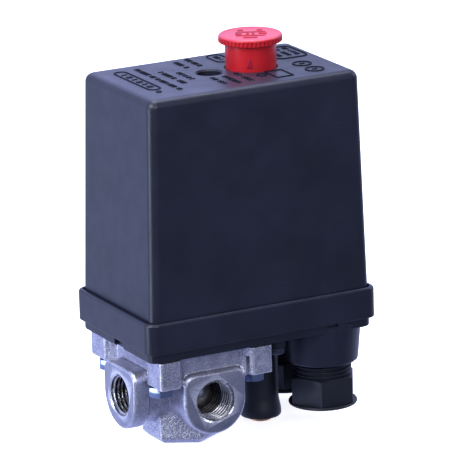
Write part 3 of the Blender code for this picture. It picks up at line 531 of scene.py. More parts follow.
def build_cover_marks():
    """Plain raised frames, rings and strokes in place of the real cover's print and marks."""
    draw = random.Random(7)
    marks = [rounded_frame(-11.2, 2.8, 2.3, 13.3, 2.2, 0.5)]
    marks += [bar(-11.2, 11.6 - 3.5 * step, 0.95, 0.85 if step % 2 else 0.35) for step in range(6)]
    marks.append(rod("dot", (-11.8 * MM, -13.1 * MM), mark_low, mark_high, 0.95 * MM, 32))
    rows = ((-4.9, -15.7, 16.0), (-0.2, -9.2, 8.8), (4.1, -6.6, 6.0), (9.4, 8.2, 17.4), (14.0, 8.2, 19.0),
            (9.8, -17.0, -5.6), (13.9, -18.4, -5.5), (18.4, -17.4, -5.6))
    for x, low_y, high_y in rows:
        marks += ticks(draw, x, low_y, high_y, 1.75)
    marks.append(rounded_frame(23.2, 14.6, 2.7, 5.2, 2.4))
    marks += ticks(draw, 23.2, 11.4, 18.0, 1.6)
    marks.append(rounded_frame(29.6, -13.4, 3.0, 4.4, 0.4))
    marks.append(ring_mark(24.3, -12.0, 1.7))
    for y in (-6.0, -14.2):
        marks += [ring_mark(41.6, y, 3.1, 0.6), bar(41.6, y, 0.9, 0.35)]
    marks.append(rounded_frame(43.6, 10.0, 5.6, 7.6, 2.6, 0.5))
    for x in (40.6, 43.6, 46.6):
        marks += ticks(draw, x, 4.4, 15.6, 1.5)
    obj = gather("cover_raised_marks", marks)
    shade(obj)
    place(obj, "cover_body", "black_abs", black_marks)


# -------- knob

KNOB_TEETH = 46


def knob_ring(radius, z, tooth_depth):
    count = KNOB_TEETH * 8
    ring = []
    for i in range(count):
        a = TAU * i / count
        groove = (0.5 - 0.5 * math.cos(a * KNOB_TEETH)) ** 2
        r = radius - tooth_depth * groove
        ring.append((knob_axis.x + r * math.cos(a), knob_axis.y + r * math.sin(a), z))
    return ring


KNOB_HEAD = 2.4 * MM              # thickness of the head
SKIRT_R = 8.0 * MM


def build_knob():
    under = knob_high.z - KNOB_HEAD
    head_r = (knob_high.x - knob_low.x) / 2
    inside = [(3.3 * MM, under - 3.5 * MM)] + stations(3.3 * MM, knob_low.z, ((0, 0.4), (0.4, 0)))
    skirt = stations(SKIRT_R, knob_low.z, ((-0.5, 0), (0, 0.5)))
    skirt += stations(SKIRT_R, under, ((0, -0.35), (0.1, -0.1), (0.35, 0)))
    rows = [(radius, z, 0) for radius, z in inside + skirt]
    # The head: offset from its radius, height above its underside, depth of the knurl's grooves
    head = ((-0.55, 0, 0), (-0.22, 0.08, 0.12), (0, 0.3, 0.42), (0, 0.9, 0.46), (0, 1.3, 0.32),
            (0, 1.55, 0.05), (-0.02, 1.75, 0), (-0.16, 2.05, 0), (-0.42, 2.28, 0), (-0.8, 2.38, 0),
            (-1.2, 2.36, 0), (-1.6, 2.22, 0), (-2.0, 2.16, 0))
    rows += [(head_r + out * MM, under + rise * MM, groove * MM) for out, rise, groove in head]
    knob = loft("knob_cap", [knob_ring(*row) for row in rows])
    face = under + 2.16 * MM
    bars = ((-3.6, 0.6, 1.0, 1.5), (3.9, 0.4, 1.3, 0.55), (0.2, 2.4, 4.6, 0.28), (0.2, -2.2, 4.6, 0.28),
            (-0.8, 0.2, 0.45, 1.1), (0.9, 0.2, 0.45, 1.1), (-3.0, 4.9, 0.9, 0.6), (3.0, 4.9, 0.9, 0.6),
            (0.0, -4.8, 2.2, 0.5))
    raised = gather("knob_raised_marks", [top_mark(*numbers, face) for numbers in bars] + [skirt_pointer()])
    shade(knob)
    shade(raised)
    place(knob, "knob_body", "red_plastic", red_plastic, "knob")
    # Upward faces of the head take the lighter copy, a painted sheen.
    knob.data.materials.append(red_top_painted_sheen)
    for polygon in knob.data.polygons:
        if polygon.normal.z > 0.6 and polygon.center.z > under:
            polygon.material_index = 1
    weigh(knob)
    place(raised, "knob_body", "red_plastic", red_marks)


def top_mark(x, y, half_x, half_y, face):
    """A small raised bar on the knob's top, in mm from its axis, turned to face the front."""
    edge = 0.1
    obj = loft("top_mark", [mark_ring(x, y, half_x, half_y, 0.25, face - 0.1 * MM, 4),
                            mark_ring(x, y, half_x, half_y, 0.25, face + 0.12 * MM, 4),
                            mark_ring(x, y, half_x - edge, half_y - edge, 0.2, face + 0.2 * MM, 4)])
    to_axis = Matrix.Translation(Vector((knob_axis.x, knob_axis.y, 0)))
    obj.data.transform(to_axis @ Matrix.Rotation(math.radians(-27), 4, "Z"))
    return obj


def skirt_pointer():
    """A small raised triangle low on the knob's skirt."""
    height, half = 3.0 * MM, 1.0 * MM
    low = cover_high.z + 1.3 * MM
    proud = 0.35 * MM
    base = [(-half, low), (half, low), (0.15 * MM, low + height), (-0.15 * MM, low + height)]
    angle = math.radians(-121)
    out = Vector((math.cos(angle), math.sin(angle), 0))
    side = Vector((-math.sin(angle), math.cos(angle), 0))
    axis = Vector((knob_axis.x, knob_axis.y, 0))
    rings = []
    for depth, shrink in ((SKIRT_R - 0.3 * MM, 1.0), (SKIRT_R + 0.6 * proud, 1.0), (SKIRT_R + proud, 0.72)):
        ring = []
        for across, z in base:
            rise = low + (z - low) * shrink + (1 - shrink) * height * 0.35
            ring.append(axis + out * depth + side * across * shrink + UP * rise)
        rings.append(ring)
    return loft("pointer", rings)


# -------- base tray

base_low, base_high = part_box("base_tray")
CASE = ((base_low.x + base_high.x) / 2, 0.0)
RIM_HALF = ((base_high.x - base_low.x) / 2, (base_high.y - base_low.y) / 2)
RIM_CORNER = 3.6 * MM
STEP_BOTTOM = 32.2 * MM
STEP_TOP = 35.2 * MM
STEP_INSET = 1.4 * MM
RIM_TOP = base_high.z
LEDGE = cover_low.z - 0.3 * MM
TRAY_FLOOR = 36.2 * MM
BLOCK_BOSS_BOTTOM = 29.2 * MM
GLAND_SEAT = 31.5 * MM            # end of the threaded bore in each gland boss
COVER_HALF = ((cover_high.x - cover_low.x) / 2, (cover_high.y - cover_low.y) / 2)
SIDES = ("front", "rear")
GLANDS = [middle("gland_" + side) for side in SIDES]
valve_axis = middle("unloader_sleeve")
BOLTS = [middle(f"flange_bolt_{number}") for number in (1, 2, 3, 4)]
BLOCK_SCREWS = [middle("block_screw_" + side) for side in SIDES]


def rim_ring(z, inset):
    return round_rect(CASE, (RIM_HALF[0] - inset, RIM_HALF[1] - inset), RIM_CORNER - 0.5 * inset, z, 10)


def build_base():
    edge = 0.45 * MM
    lower = stations(STEP_INSET, STEP_BOTTOM, ((0.5, 0), (0.15, 0.15), (0, 0.5)))
    rings = [rim_ring(z, inset) for inset, z in lower + [(STEP_INSET, STEP_TOP), (edge, STEP_TOP)]]
    rings += [rim_ring(STEP_TOP + edge - rise, inset) for inset, rise in reversed(list(fillet(edge, 4)))][1:]
    top_edge = 0.9 * MM
    rings += [rim_ring(RIM_TOP - top_edge + rise, inset) for inset, rise in fillet(top_edge, 6)]
    seat = (COVER_HALF[0] + 0.4 * MM, COVER_HALF[1] + 0.4 * MM)
    room = (COVER_HALF[0] - 2.6 * MM, COVER_HALF[1] - 2.6 * MM)
    seat_mouth = (seat[0] + 0.2 * MM, seat[1] + 0.2 * MM)
    inside = ((seat_mouth, 3.0, RIM_TOP), (seat, 2.8, RIM_TOP - 0.2 * MM), (seat, 2.8, LEDGE),
              (room, 2.0, LEDGE), (room, 2.0, TRAY_FLOOR))
    rings += [round_rect(CASE, half, corner * MM, z, 10) for half, corner, z in inside]
    tray = loft("base_tray_moulding", rings)
    boss_low = base_low.z
    boss = stations(11.44 * MM, boss_low, ((-1.04, 0), (-0.54, 0.1), (-0.16, 0.4), (0, 0.9)))
    boss.append((12.6 * MM, STEP_BOTTOM + 2 * MM))
    for gland in GLANDS:
        join(tray, turned("boss", gland, boss, 128))
    for screw in BLOCK_SCREWS:
        join(tray, rod("screw_boss", screw, BLOCK_BOSS_BOTTOM, STEP_BOTTOM + 1 * MM, 3.2 * MM, sides=48))
    pad_low = (41.8 * MM, base_low.y + 0.5 * MM, 31.4 * MM)
    join(tray, block("pad", pad_low, (45.4 * MM, -24.0 * MM, STEP_TOP + 1 * MM)))
    below, above = STEP_BOTTOM - 2 * MM, TRAY_FLOOR + 1 * MM
    holes = [rod("piston_opening", (0, 0), below, above, 12 * MM),
             rod("valve_opening", valve_axis, below, above, 6.15 * MM)]
    for gland in GLANDS:
        holes.append(rod("gland_bore", gland, GLAND_SEAT - 1 * MM, above, 5.5 * MM))
        holes.append(rod("gland_thread", gland, boss_low - 1 * MM, GLAND_SEAT, 9.6 * MM))
    for screw in BLOCK_SCREWS:
        holes.append(rod("block_hole", screw, BLOCK_BOSS_BOTTOM - 1 * MM, above, 1.8 * MM, sides=40))
    for bolt in BOLTS:
        holes.append(rod("bolt_hole", bolt, below, above, 2.3 * MM, sides=40))
    wall_x = base_low.x
    holes.append(block("notch", (wall_x - 1 * MM, -4.7 * MM, STEP_BOTTOM - 1 * MM),
                       (wall_x + 2.6 * MM, 1.4 * MM, STEP_TOP)))
    cut(tray, *holes)
    shade(tray)
    place(tray, "root", "black_abs", black_abs, "base_tray")
    weigh(tray)


# -------- manifold

PORT_Z = 16.2 * MM
ARM_HALF = 10.7 * MM
ARM_HEAD = 5.0 * MM               # length of each arm's thick end
SKIN_STEP = 0.4 * MM              # size of the voxels that the cast skin is made from
COARSE_BUMPS, FINE_BUMPS = 420.0, 1300.0       # per metre
ARM_TOP = 25.7 * MM
CAST_X = -0.5 * MM                # centre of the flange and of the foot along X
FLANGE_HALF = (19.45 * MM, 24.3 * MM)
FLANGE_BOTTOM = 23.2 * MM
FLANGE_TOP = 31.9 * MM
FOOT_FLATS = 22.4 * MM
RECESS_BOTTOM = 30.1 * MM
THREAD_MEAN = 6.15 * MM
THREAD_DEPTH = 0.85 * MM
THREAD_PITCH = 1.337 * MM
PORT_DEPTH = 13 * MM
DARK_DEPTH = 7.5 * MM             # past this depth a side port's faces get a near-black painted shadow
# The side ports: direction, reach from the tank port's axis, half width of the arm's neck
END_REACH, SIDE_REACH = 22.5 * MM, 22.0 * MM
PORTS = (((-1, 0, 0), END_REACH, 9.5 * MM), ((0, -1, 0), SIDE_REACH, 9.8 * MM),
         ((0, 1, 0), SIDE_REACH, 9.8 * MM))
FOOT_NORMALS = np.array([(math.cos(a), math.sin(a), 0) for a in (0, TAU / 6, TAU / 3)])


def hexagon_ring(flats, z):
    """The foot's outline, with flats that face -X and +X."""
    return circle((CAST_X, 0), flats / math.sqrt(3), z, 6, math.radians(30))


def arm_outline(half_width):
    """The cross-section of an arm: half round below, flat on top with round shoulders."""
    shoulder = 3.2 * MM
    top = ARM_TOP - PORT_Z - (ARM_HALF - half_width)
    points = [(half_width * math.cos(a), half_width * math.sin(a))
              for a in (math.pi + math.pi * i / 40 for i in range(41))]
    for cx, start in ((half_width - shoulder, 0), (shoulder - half_width, 90)):
        for i in range(9):
            a = math.radians(start + 90 * i / 8)
            points.append((cx + shoulder * math.cos(a), top - shoulder + shoulder * math.sin(a)))
    return points


def port_arm(direction, reach, neck):
    """A side port's arm: a neck and a thicker end whose rim is round."""
    steps = ((2 * MM, neck), (reach - ARM_HEAD - 0.7 * MM, neck), (reach - ARM_HEAD, ARM_HALF),
             (reach - 0.9 * MM, ARM_HALF), (reach - 0.25 * MM, ARM_HALF - 0.3 * MM),
             (reach + 0.15 * MM, ARM_HALF - 1.1 * MM))
    along = Vector(direction)
    across = UP.cross(along)
    rings = []
    for distance, half_width in steps:
        rings.append([along * distance + across * x + UP * (PORT_Z + y) for x, y in arm_outline(half_width)])
    return loft("arm", rings)


def flange_notch(out, edge, half_width, taper, depth):
    """A tapered opening right through one edge of the flange."""
    along = Vector(out)
    across = UP.cross(along)
    far = edge + 5 * MM
    spread = half_width + taper * (far - edge) / depth
    bottom, narrow = edge - depth, half_width - taper
    corners = ((bottom, narrow), (far, spread), (far, -spread), (bottom, -narrow))
    start = Vector((CAST_X, 0, 0))
    return loft("notch", [[start + along * a - across * b + UP * z for a, b in corners]
                          for z in (5 * MM, 40 * MM)])


def rough_casting():
    """The casting as it leaves the mould, with soft edges and an uneven skin."""
    foot = ((FOOT_FLATS - 3.8 * MM, -0.4 * MM), (FOOT_FLATS, 1.5 * MM), (FOOT_FLATS, 26 * MM))
    casting = loft("manifold_casting", [hexagon_ring(flats, z) for flats, z in foot])
    flange = loft("flange", [round_rect((CAST_X, 0), FLANGE_HALF, 0.7 * MM, z, 4)
                             for z in (FLANGE_BOTTOM - 0.1 * MM, FLANGE_TOP + 1 * MM)])
    for side in (-1, 1):
        cut(flange, flange_notch((0, side, 0), FLANGE_HALF[1], 12.8 * MM, 3.0 * MM, 4.3 * MM),
            flange_notch((side, 0, 0), FLANGE_HALF[0], 15.0 * MM, 3.4 * MM, 3.4 * MM))
    join(casting, flange, *[port_arm(*port) for port in PORTS])
    remesh = casting.modifiers.new("skin", "REMESH")
    remesh.mode = "VOXEL"
    remesh.voxel_size = SKIN_STEP
    smooth = casting.modifiers.new("soft", "SMOOTH")
    smooth.factor = 0.5
    smooth.iterations = 3
    bake(casting)
    roughen(casting)
    return casting


def roughen(casting):
    """Move the skin in and out a little, as sand and die wear do."""
    mesh = casting.data
    places = read_vectors(mesh, "co")
    normals = read_vectors(mesh, "normal")
    reach = np.abs((places - (CAST_X, 0, 0)) @ FOOT_NORMALS.T).max(axis=1)
    on_foot = (places[:, 2] < FLANGE_BOTTOM) & (np.abs(reach - FOOT_FLATS / 2) < 0.3 * MM)
    coarse, fine = (np.array([noise.noise(Vector(place) * per_metre) for place in places])
                    for per_metre in (COARSE_BUMPS, FINE_BUMPS))
    height = 0.06 * MM * coarse + np.where(on_foot, 0.08 * MM, 0.04 * MM) * fine
    places += normals * height[:, None]
    mesh.vertices.foreach_set("co", places.ravel())
    mesh.update()
    attribute = mesh.attributes.new("sand", "FLOAT", "POINT")
    attribute.data.foreach_set("value", on_foot.astype(np.float32))


def read_vectors(mesh, kind):
    """The coordinates or normals of a mesh's vertices as an array of rows."""
    values = np.empty(len(mesh.vertices) * 3)
    mesh.vertices.foreach_get(kind, values)
    return values.reshape(-1, 3)


def port_tool(origin, inward, depth, passage):
    """What the tap, the countersink and the drill take out of one port."""
    start = Vector(origin) - Vector(inward) * BOOLEAN_MARGIN
    tool = aim(thread("tap", THREAD_MEAN, THREAD_DEPTH, THREAD_PITCH, depth + BOOLEAN_MARGIN), start, inward)
    sink = stations(THREAD_MEAN, BOOLEAN_MARGIN, ((0.75, -1), (0.75, 0), (-0.55, 1.2)))
    mouth = turned("mouth", (0, 0), sink)
    drill_r, passage_r = 5.1 * MM, 3.0 * MM
    drill = turned("drill", (0, 0), [(drill_r, 2 * MM), (drill_r, depth + 0.6 * MM),
                                     (passage_r, depth + 1.8 * MM), (passage_r, passage)], 64)
    return join(tool, aim(mouth, start, inward), aim(drill, start, inward))


def build_manifold():
    casting = rough_casting()
    far = 60 * MM
    faces = [block("end", (-far, -20 * MM, -20 * MM), (-END_REACH, 20 * MM, far)),
             block("foot", (-30 * MM, -30 * MM, -20 * MM), (30 * MM, 30 * MM, 0)),
             block("joint", (-far, -far, FLANGE_TOP), (far, far, far))]
    for side in (-1, 1):
        low_y, high_y = sorted((side * SIDE_REACH, side * far))
        high = (11.6 * MM, high_y, FLANGE_BOTTOM + 6 * MM)
        faces.append(block("front", (-11.6 * MM, low_y, 0.5 * MM), high))
    cut(casting, *faces)
    tools = port_tool((0, 0, 0), (0, 0, 1), 11 * MM, RECESS_BOTTOM + 1 * MM)
    for direction, reach, _ in PORTS:
        origin = Vector(direction) * reach + UP * PORT_Z
        join(tools, port_tool(origin, -Vector(direction), PORT_DEPTH, 24 * MM))
    above = FLANGE_TOP + BOOLEAN_MARGIN
    join(tools, rod("recess", (0, 0), RECESS_BOTTOM, above, 15.3 * MM))
    for bolt in BOLTS:
        join(tools, rod("bolt_hole", bolt, FLANGE_BOTTOM - 2 * MM, above, 2.3 * MM, sides=32))
    cut(casting, tools)
    measure_convexity(casting)
    place(casting, "root", "cast_aluminium", cast_rough, "manifold")
    for material in (cast_machined, bored_painted_shade, deep_painted_shadow):
        casting.data.materials.append(material)
    sort_faces(casting)
    shade(casting, 40)


def measure_convexity(obj):
    """Store how much each vertex stands out from its neighbours: above 0.5 on ridges, below in hollows."""
    mesh = obj.data
    count = len(mesh.vertices)
    co = read_vectors(mesh, "co")
    normal = read_vectors(mesh, "normal")
    edges = np.empty(len(mesh.edges) * 2, int)
    mesh.edges.foreach_get("vertices", edges)
    a, b = edges.reshape(-1, 2).T
    here, there = np.concatenate((a, b)), np.concatenate((b, a))
    along = co[there] - co[here]
    along /= np.maximum(np.linalg.norm(along, axis=1), 1e-9)[:, None]
    number = np.maximum(np.bincount(here, minlength=count), 1)
    value = np.bincount(here, -(along * normal[here]).sum(1), count) / number
    for _ in range(2):
        value = 0.5 * value + 0.5 * np.bincount(here, value[there], count) / number
    attribute = mesh.attributes.new("convexity", "FLOAT", "POINT")
    attribute.data.foreach_set("value", np.clip(0.5 + value, 0, 1).astype(np.float32))


def sort_faces(casting):
    """The skin stays rough and cut faces are machined. Threads and bores get painted shade, and past
    DARK_DEPTH the side ports get a near-black painted shadow.
    """
    near = 0.02 * MM
    axes = [(UP, Vector((0, 0, 0)), SIDE_REACH)]
    axes += [(Vector(direction), UP * PORT_Z, reach) for direction, reach, _ in PORTS]
    for face in casting.data.polygons:
        centre = face.center
        if (abs(centre.z) < near or abs(centre.z - FLANGE_TOP) < near or abs(centre.x + END_REACH) < near
                or (abs(abs(centre.y) - SIDE_REACH) < near and abs(centre.x) < 11 * MM)):
            face.material_index = 1
            continue
        for axis, start, reach in axes:
            offset = centre - start
            along = offset.dot(axis)
            if 0 < along < reach + near and (offset - axis * along).length < 7.3 * MM:
                deep = axis.z == 0 and along < reach - DARK_DEPTH
                face.material_index = 3 if deep else 2
                break


# -------- fasteners, glands and unloader valve

def hexagon(name, centre, low, high, flats, chamfer):
    """A hexagon bar whose corners are turned down at its ends."""
    corner = flats / math.sqrt(3)
    turned_r = flats / 2 - 0.05 * MM
    outer_r = corner + 0.1 * MM
    rise = (corner - turned_r) * chamfer
    profile = [(turned_r, low), (outer_r, low + rise), (outer_r, high - rise), (turned_r, high)]
    return meet(rod(name, centre, low, high, corner, 6), turned("corners", centre, profile, 72))


def build_bolts():
    for number, bolt in enumerate(BOLTS, start=1):
        node = f"flange_bolt_{number}"
        low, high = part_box(node)
        head_top = FLANGE_BOTTOM - 0.3 * MM
        obj = hexagon(f"flange_bolt_visual_{number}", bolt, low.z, head_top, 7.0 * MM, chamfer=0.5)
        rim = stations(3.5 * MM, head_top, ((-0.2, -0.35), (0, -0.3), (0, 0), (-1.3, 0)))
        washer = turned("washer", bolt, rim, 64)
        join(obj, washer, rod("shank", bolt, head_top - 1 * MM, high.z, 2.0 * MM, sides=40))
        soften(obj, 0.08 * MM, 2, 30)
        bake(obj)
        shade(obj)
        place(obj, "root", "zinc_plated_steel", blue_zinc, node)


def build_gland(name, axis):
    node = "gland_" + name
    low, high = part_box(node)
    flange_top = low.z + 0.9 * MM
    hex_top = low.z + 9.7 * MM
    body = hexagon("gland_body_" + name, axis, flange_top - 0.1 * MM, hex_top, 19.0 * MM, chamfer=0.35)
    soften(body, 0.25 * MM, 3, 30)
    bake(body)
    flange = stations(10.85 * MM, low.z, ((-0.5, 0), (-0.15, 0.12), (0, 0.4), (0, 0.62), (-0.2, 0.9)))
    join(body, turned("flange", axis, flange, 128))
    neck = rod("neck", axis, hex_top - 0.5 * MM, high.z, 8.55 * MM, sides=96)
    pitch = 1.41 * MM
    male = thread("male", 8.85 * MM, 0.85 * MM, pitch, high.z - hex_top + 0.2 * MM, 96, 12)
    aim(male, (axis.x, axis.y, hex_top - 0.2 * MM), (0, 0, 1))
    join(body, neck, male)
    cable_exit = stations(6.2 * MM, low.z, ((1, -1), (1, 0), (0, 0.9)))
    cut(body, turned("exit", axis, cable_exit + [(6.2 * MM, high.z + BOOLEAN_MARGIN)]))
    shade(body)
    place(body, "root", "black_nylon", black_nylon, node)
    seal_low, seal_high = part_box("gland_seal_" + name)
    outer, inner = (seal_high.x - seal_low.x) / 2, 5.0 * MM
    edge = 0.35
    profile = stations(inner, seal_low.z, ((0, edge), (edge, 0)))
    profile += stations(outer, seal_low.z, ((-edge, 0), (0, edge)))
    profile += stations(outer, seal_high.z, ((0, -edge), (-edge, 0)))
    profile += stations(inner, seal_high.z, ((edge, 0), (0, -edge)))
    seal = turned("gland_seal_ring_" + name, axis, profile, 72, closed=True)
    shade(seal)
    place(seal, "root", "rubber", rubber, "gland_seal_" + name)


def build_unloader():
    low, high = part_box("unloader_sleeve")
    flare_r = (high.x - low.x) / 2
    waist_r, bore_r = 5.85 * MM, 4.6 * MM
    profile = [(bore_r + 0.3 * MM, low.z)]
    profile += stations(flare_r, low.z, ((-0.9, 0), (-0.35, 0.12), (-0.08, 0.45), (0, 0.9)))
    for i in range(9):
        share = i / 8
        ease = share * share * (3 - 2 * share)
        profile.append((flare_r + (waist_r - flare_r) * ease, low.z + (1.4 + 5.4 * share) * MM))
    profile += stations(waist_r, high.z, ((0, -0.4), (-0.4, 0)))
    profile += stations(bore_r, high.z, ((0.2, 0), (0, -0.2)))
    profile.append((bore_r, low.z + 0.3 * MM))
    sleeve = turned("unloader_sleeve_moulding", valve_axis, profile, 96, closed=True)
    shade(sleeve)
    place(sleeve, "root", "black_nylon", black_nylon, "unloader_sleeve")
    low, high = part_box("unloader_nozzle")
    collar_r = (high.x - low.x) / 2
    profile = stations(1.6 * MM, low.z, ((0, 0.3), (0.3, 0)))
    profile += stations(3.8 * MM, low.z, ((-0.7, 0), (-0.3, 0.18), (-0.05, 0.6), (0, 1.0), (0, 2.4),
                                          (-0.3, 2.7), (-0.3, 3.3), (0, 3.6), (0, 4.5)))
    profile.append((collar_r, low.z + 5.1 * MM))
    profile += stations(collar_r, high.z, ((0, -0.3), (-0.3, 0)))
    profile += stations(1.6 * MM, high.z, ((0.3, 0), (0, -0.3)))
    nozzle = turned("unloader_nozzle_turned", valve_axis, profile, 72, closed=True)
    shade(nozzle)
    place(nozzle, "root", "brass", brass, "unloader_nozzle")


def cross_recess(obj, axis, top, half, depth):
    """A cross recess in a screw head, cut downwards from top, or upwards where depth is negative."""
    low_z, high_z = sorted((top + math.copysign(0.5 * MM, depth), top - depth))
    arms = []
    for half_x, half_y in ((half, half * 0.2), (half * 0.2, half)):
        low = (axis.x - half_x, axis.y - half_y, low_z)
        arms.append(block("slot", low, (axis.x + half_x, axis.y + half_y, high_z)))
    cut(obj, *arms)


def build_screws():
    axis = well_axis
    low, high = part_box("cover_screw")
    head_r = (high.x - low.x) / 2
    head_low = high.z - 3.0 * MM
    profile = stations(2.0 * MM, low.z, ((-0.5, 0), (0, 0.5))) + [(2.0 * MM, head_low), (head_r, head_low)]
    profile += stations(head_r, high.z, ((0, -0.8), (-0.25, -0.35), (-0.8, 0)))
    screw = turned("cover_screw_turned", axis, profile, 48)
    cross_recess(screw, axis, high.z, 2.3 * MM, 1.6 * MM)
    shade(screw)
    place(screw, "cover_screw_body", "zinc_plated_steel", zinc, "cover_screw")
    for side, axis in zip(SIDES, BLOCK_SCREWS):
        node = "block_screw_" + side
        low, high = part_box(node)
        head_r = (high.x - low.x) / 2
        head_high = BLOCK_BOSS_BOTTOM - 0.3 * MM
        profile = stations(head_r, low.z, ((-1, 0), (-0.35, 0.25), (0, 0.9)))
        profile += [(head_r, head_high), (1.5 * MM, head_high), (1.5 * MM, high.z)]
        screw = turned("block_screw_turned_" + side, axis, profile, 48)
        cross_recess(screw, axis, low.z, 1.5 * MM, -1.3 * MM)
        shade(screw)
        place(screw, "root", "zinc_plated_steel", dark_steel, node)


# -------- mechanism

def coil(name, centre, low, high, radius, wire_r, turns, start_turn, end_turn, per_turn=40, sides=12):
    """A length of compression spring between two turn numbers. Its end turns lie nearly flat."""
    closing = 2.4 * wire_r
    first, last = low + wire_r, high - wire_r
    free = turns - 2.0
    rings = []
    count = int((end_turn - start_turn) * per_turn)
    for i in range(count + 1):
        t = start_turn + (end_turn - start_turn) * i / count
        if t < 1.0:
            z, slope = first + closing * t, closing
        elif t > turns - 1.0:
            z, slope = last - closing * (turns - t), closing
        else:
            slope = (last - first - 2 * closing) / free
            z = first + closing + slope * (t - 1.0)
        a = TAU * t
        out = Vector((math.cos(a), math.sin(a), 0))
        along = Vector((-math.sin(a) * radius * TAU, math.cos(a) * radius * TAU, slope)).normalized()
        rise = along.cross(out) * -1
        point = Vector((centre[0], centre[1], z)) + out * radius
        rings.append([point + (out * math.cos(b) + rise * math.sin(b)) * wire_r
                      for b in (TAU * k / sides for k in range(sides))])
    return loft(name, rings)


def dress_spring(spring, node):
    shade(spring, 50)
    spring.data.materials.append(spring_steel)
    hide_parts(node)
    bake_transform(spring)


def build_springs():
    low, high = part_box("range_spring")
    radius, wire_r, turns = 6.9 * MM, 1.1 * MM, 6
    half_way = (low.z + high.z) / 2
    halves = (("lower", 0, 3, "lever_body", "root", low.z, half_way),
              ("upper", 3, 6, "root", "spring_nut_body", half_way, high.z))
    for name, first_turn, last_turn, first, second, start_z, end_z in halves:
        spring = coil("range_spring_" + name, (0, 0), low.z, high.z, radius, wire_r, turns,
                      first_turn, last_turn)
        dress_spring(spring, "range_spring")
    low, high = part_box("unloader_spring")
    spring = coil("unloader_spring_coil", valve_axis, low.z, high.z, 2.7 * MM, 0.4 * MM, 6, 0, 6, 28, 8)
    dress_spring(spring, "unloader_spring")


def polish(node, material, width):
    """Show a CAD node with its edges rounded and its own material."""
    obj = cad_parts[node]
    obj.data.materials.clear()
    obj.data.materials.append(material)
    weld = obj.modifiers.new("weld", "WELD")
    weld.merge_threshold = 0.001 * MM
    flat = obj.modifiers.new("flat", "DECIMATE")
    flat.decimate_type = "DISSOLVE"
    flat.angle_limit = math.radians(1.0)
    soften(obj, width, 2, 35)


def build_mechanism():
    screws = tuple(f"terminal_screw_{number}" for number in (1, 2, 3, 4))
    terminals = tuple(f"terminal_{number}" for number in (1, 2, 3, 4))
    plated = ("mounting_frame", "spring_nut", "adjusting_screw", "lever", "lever_pin", "earth_screw")
    groups = ((zinc, 0.12, plated + screws), (brass, 0.12, ("unloader_pin",) + terminals),
              (copper, 0.1, ("contact_bridge_front", "contact_bridge_rear")),
              (bakelite, 0.2, ("contact_carrier", "terminal_block")),
              (rubber, 0.2, ("diaphragm",)),
              (black_nylon, 0.15, ("knob_stem", "diaphragm_piston")))
    for material, width, nodes in groups:
        for node in nodes:
            polish(node, material, width * MM)


# -------- floor, light and camera

TARGET = Vector((15.58 * MM, -1.28 * MM, 65.54 * MM))
VIEW_AZIMUTH = math.radians(27.29)
VIEW_ELEVATION = math.radians(15.62)
VIEW_ROLL = math.radians(-1.67)
VIEW_DISTANCE = 1.5287
VIEW_LENS = 393.0                 # mm, on a 36 mm sensor
FLOOR_GLOW = 0.8
FRONT_SKY = (0.16, 0.18, 0.30)
BACK_SKY = (0.66, 0.74, 1.25)


def build_camera():
    camera = bpy.data.objects.new("camera", bpy.data.cameras.new("camera"))
    scene.collection.objects.link(camera)
    camera.data.sensor_width = 36.0
    camera.data.lens = VIEW_LENS
    camera.data.clip_end = 20.0
    forward = Vector((math.sin(VIEW_AZIMUTH) * math.cos(VIEW_ELEVATION),
                      math.cos(VIEW_AZIMUTH) * math.cos(VIEW_ELEVATION), -math.sin(VIEW_ELEVATION)))
    level = forward.cross(UP).normalized()
    upright = level.cross(forward)
    right = level * math.cos(VIEW_ROLL) + upright * math.sin(VIEW_ROLL)
    top = upright * math.cos(VIEW_ROLL) - level * math.sin(VIEW_ROLL)
    turn = Matrix((right, top, -forward)).transposed().to_4x4()
    camera.matrix_world = Matrix.Translation(TARGET - forward * VIEW_DISTANCE) @ turn
    scene.camera = camera


def area_light(name, direction, distance, size, power, colour):
    light = bpy.data.lights.new(name, "AREA")
    light.shape = "RECTANGLE"
    light.size, light.size_y = size
    light.energy = power
    light.color = colour
    obj = bpy.data.objects.new(name, light)
    scene.collection.objects.link(obj)
    out = Vector(direction).normalized()
    obj.location = TARGET + out * distance
    obj.rotation_mode = "QUATERNION"
    obj.rotation_quaternion = (-out).to_track_quat("-Z", "Y")
    obj.visible_camera = False


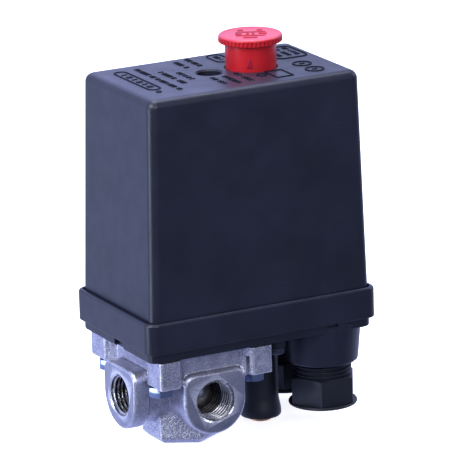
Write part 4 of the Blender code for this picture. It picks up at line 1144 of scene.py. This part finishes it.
def build_floor():
    half = 8.0
    floor = block("floor", (-half, -half, -0.01), (half, half, -0.0001))
    look = Look("floor_paper")
    base = look.mix(look.noise(30 * MM, 3.0), (0.90, 0.90, 0.90), (0.93, 0.93, 0.93))
    rough = look.remap(look.noise(20 * MM), 0.3, 0.7, 0.8, 0.9)
    look.shader.inputs["Emission Color"].default_value = (1, 1, 1, 1)
    look.shader.inputs["Emission Strength"].default_value = FLOOR_GLOW
    floor.data.materials.append(look.finish(base, rough, look.noise(1 * MM), 0.01 * MM))
    floor.visible_glossy = False
    floor.visible_diffuse = False


def build_world():
    """Soft studio surroundings: bright behind the object, dim in front, white where the camera sees them."""
    world = bpy.data.worlds.new("studio")
    world.use_nodes = True
    scene.world = world
    nodes = Nodes(world.node_tree)
    direction = nodes.node("ShaderNodeTexCoord").outputs["Generated"]
    share = nodes.remap(nodes.parts(direction)["Y"], -0.6, 0.6, 0.0, 1.0, interpolation_type="SMOOTHSTEP")
    sky = nodes.mix(share, FRONT_SKY, BACK_SKY)
    seen = nodes.mix(nodes.node("ShaderNodeLightPath").outputs["Is Camera Ray"], sky, (1.0, 1.0, 1.0))
    nodes.wire(seen, world.node_tree.nodes["Background"].inputs["Color"])


def build_lights():
    area_light("key_left", (-0.95, -0.35, 0.75), 1.1, (0.7, 0.7), 11.0, (0.93, 0.95, 1.0))
    area_light("top_soft", (0.1, 0.1, 1.0), 1.2, (0.9, 0.9), 9.0, (0.95, 0.96, 1.0))
    area_light("front_fill", (-0.1, -1.0, 0.45), 1.4, (0.9, 0.6), 6.0, (0.95, 0.96, 1.0))
    area_light("low_left", (-1.0, 0.05, -0.12), 0.8, (0.30, 0.30), 1.5, (0.80, 0.90, 1.0))
    area_light("right_fill", (1.0, -0.2, 0.6), 1.3, (0.6, 0.6), 2.5, (0.95, 0.96, 1.0))


build_cover()
build_cover_marks()
build_knob()
build_base()
build_manifold()
build_bolts()
for side_name, gland_axis in zip(SIDES, GLANDS):
    build_gland(side_name, gland_axis)
build_unloader()
build_screws()
build_springs()
build_mechanism()
build_world()
build_floor()
build_lights()
build_camera()
scene.view_settings.view_transform = "Standard"
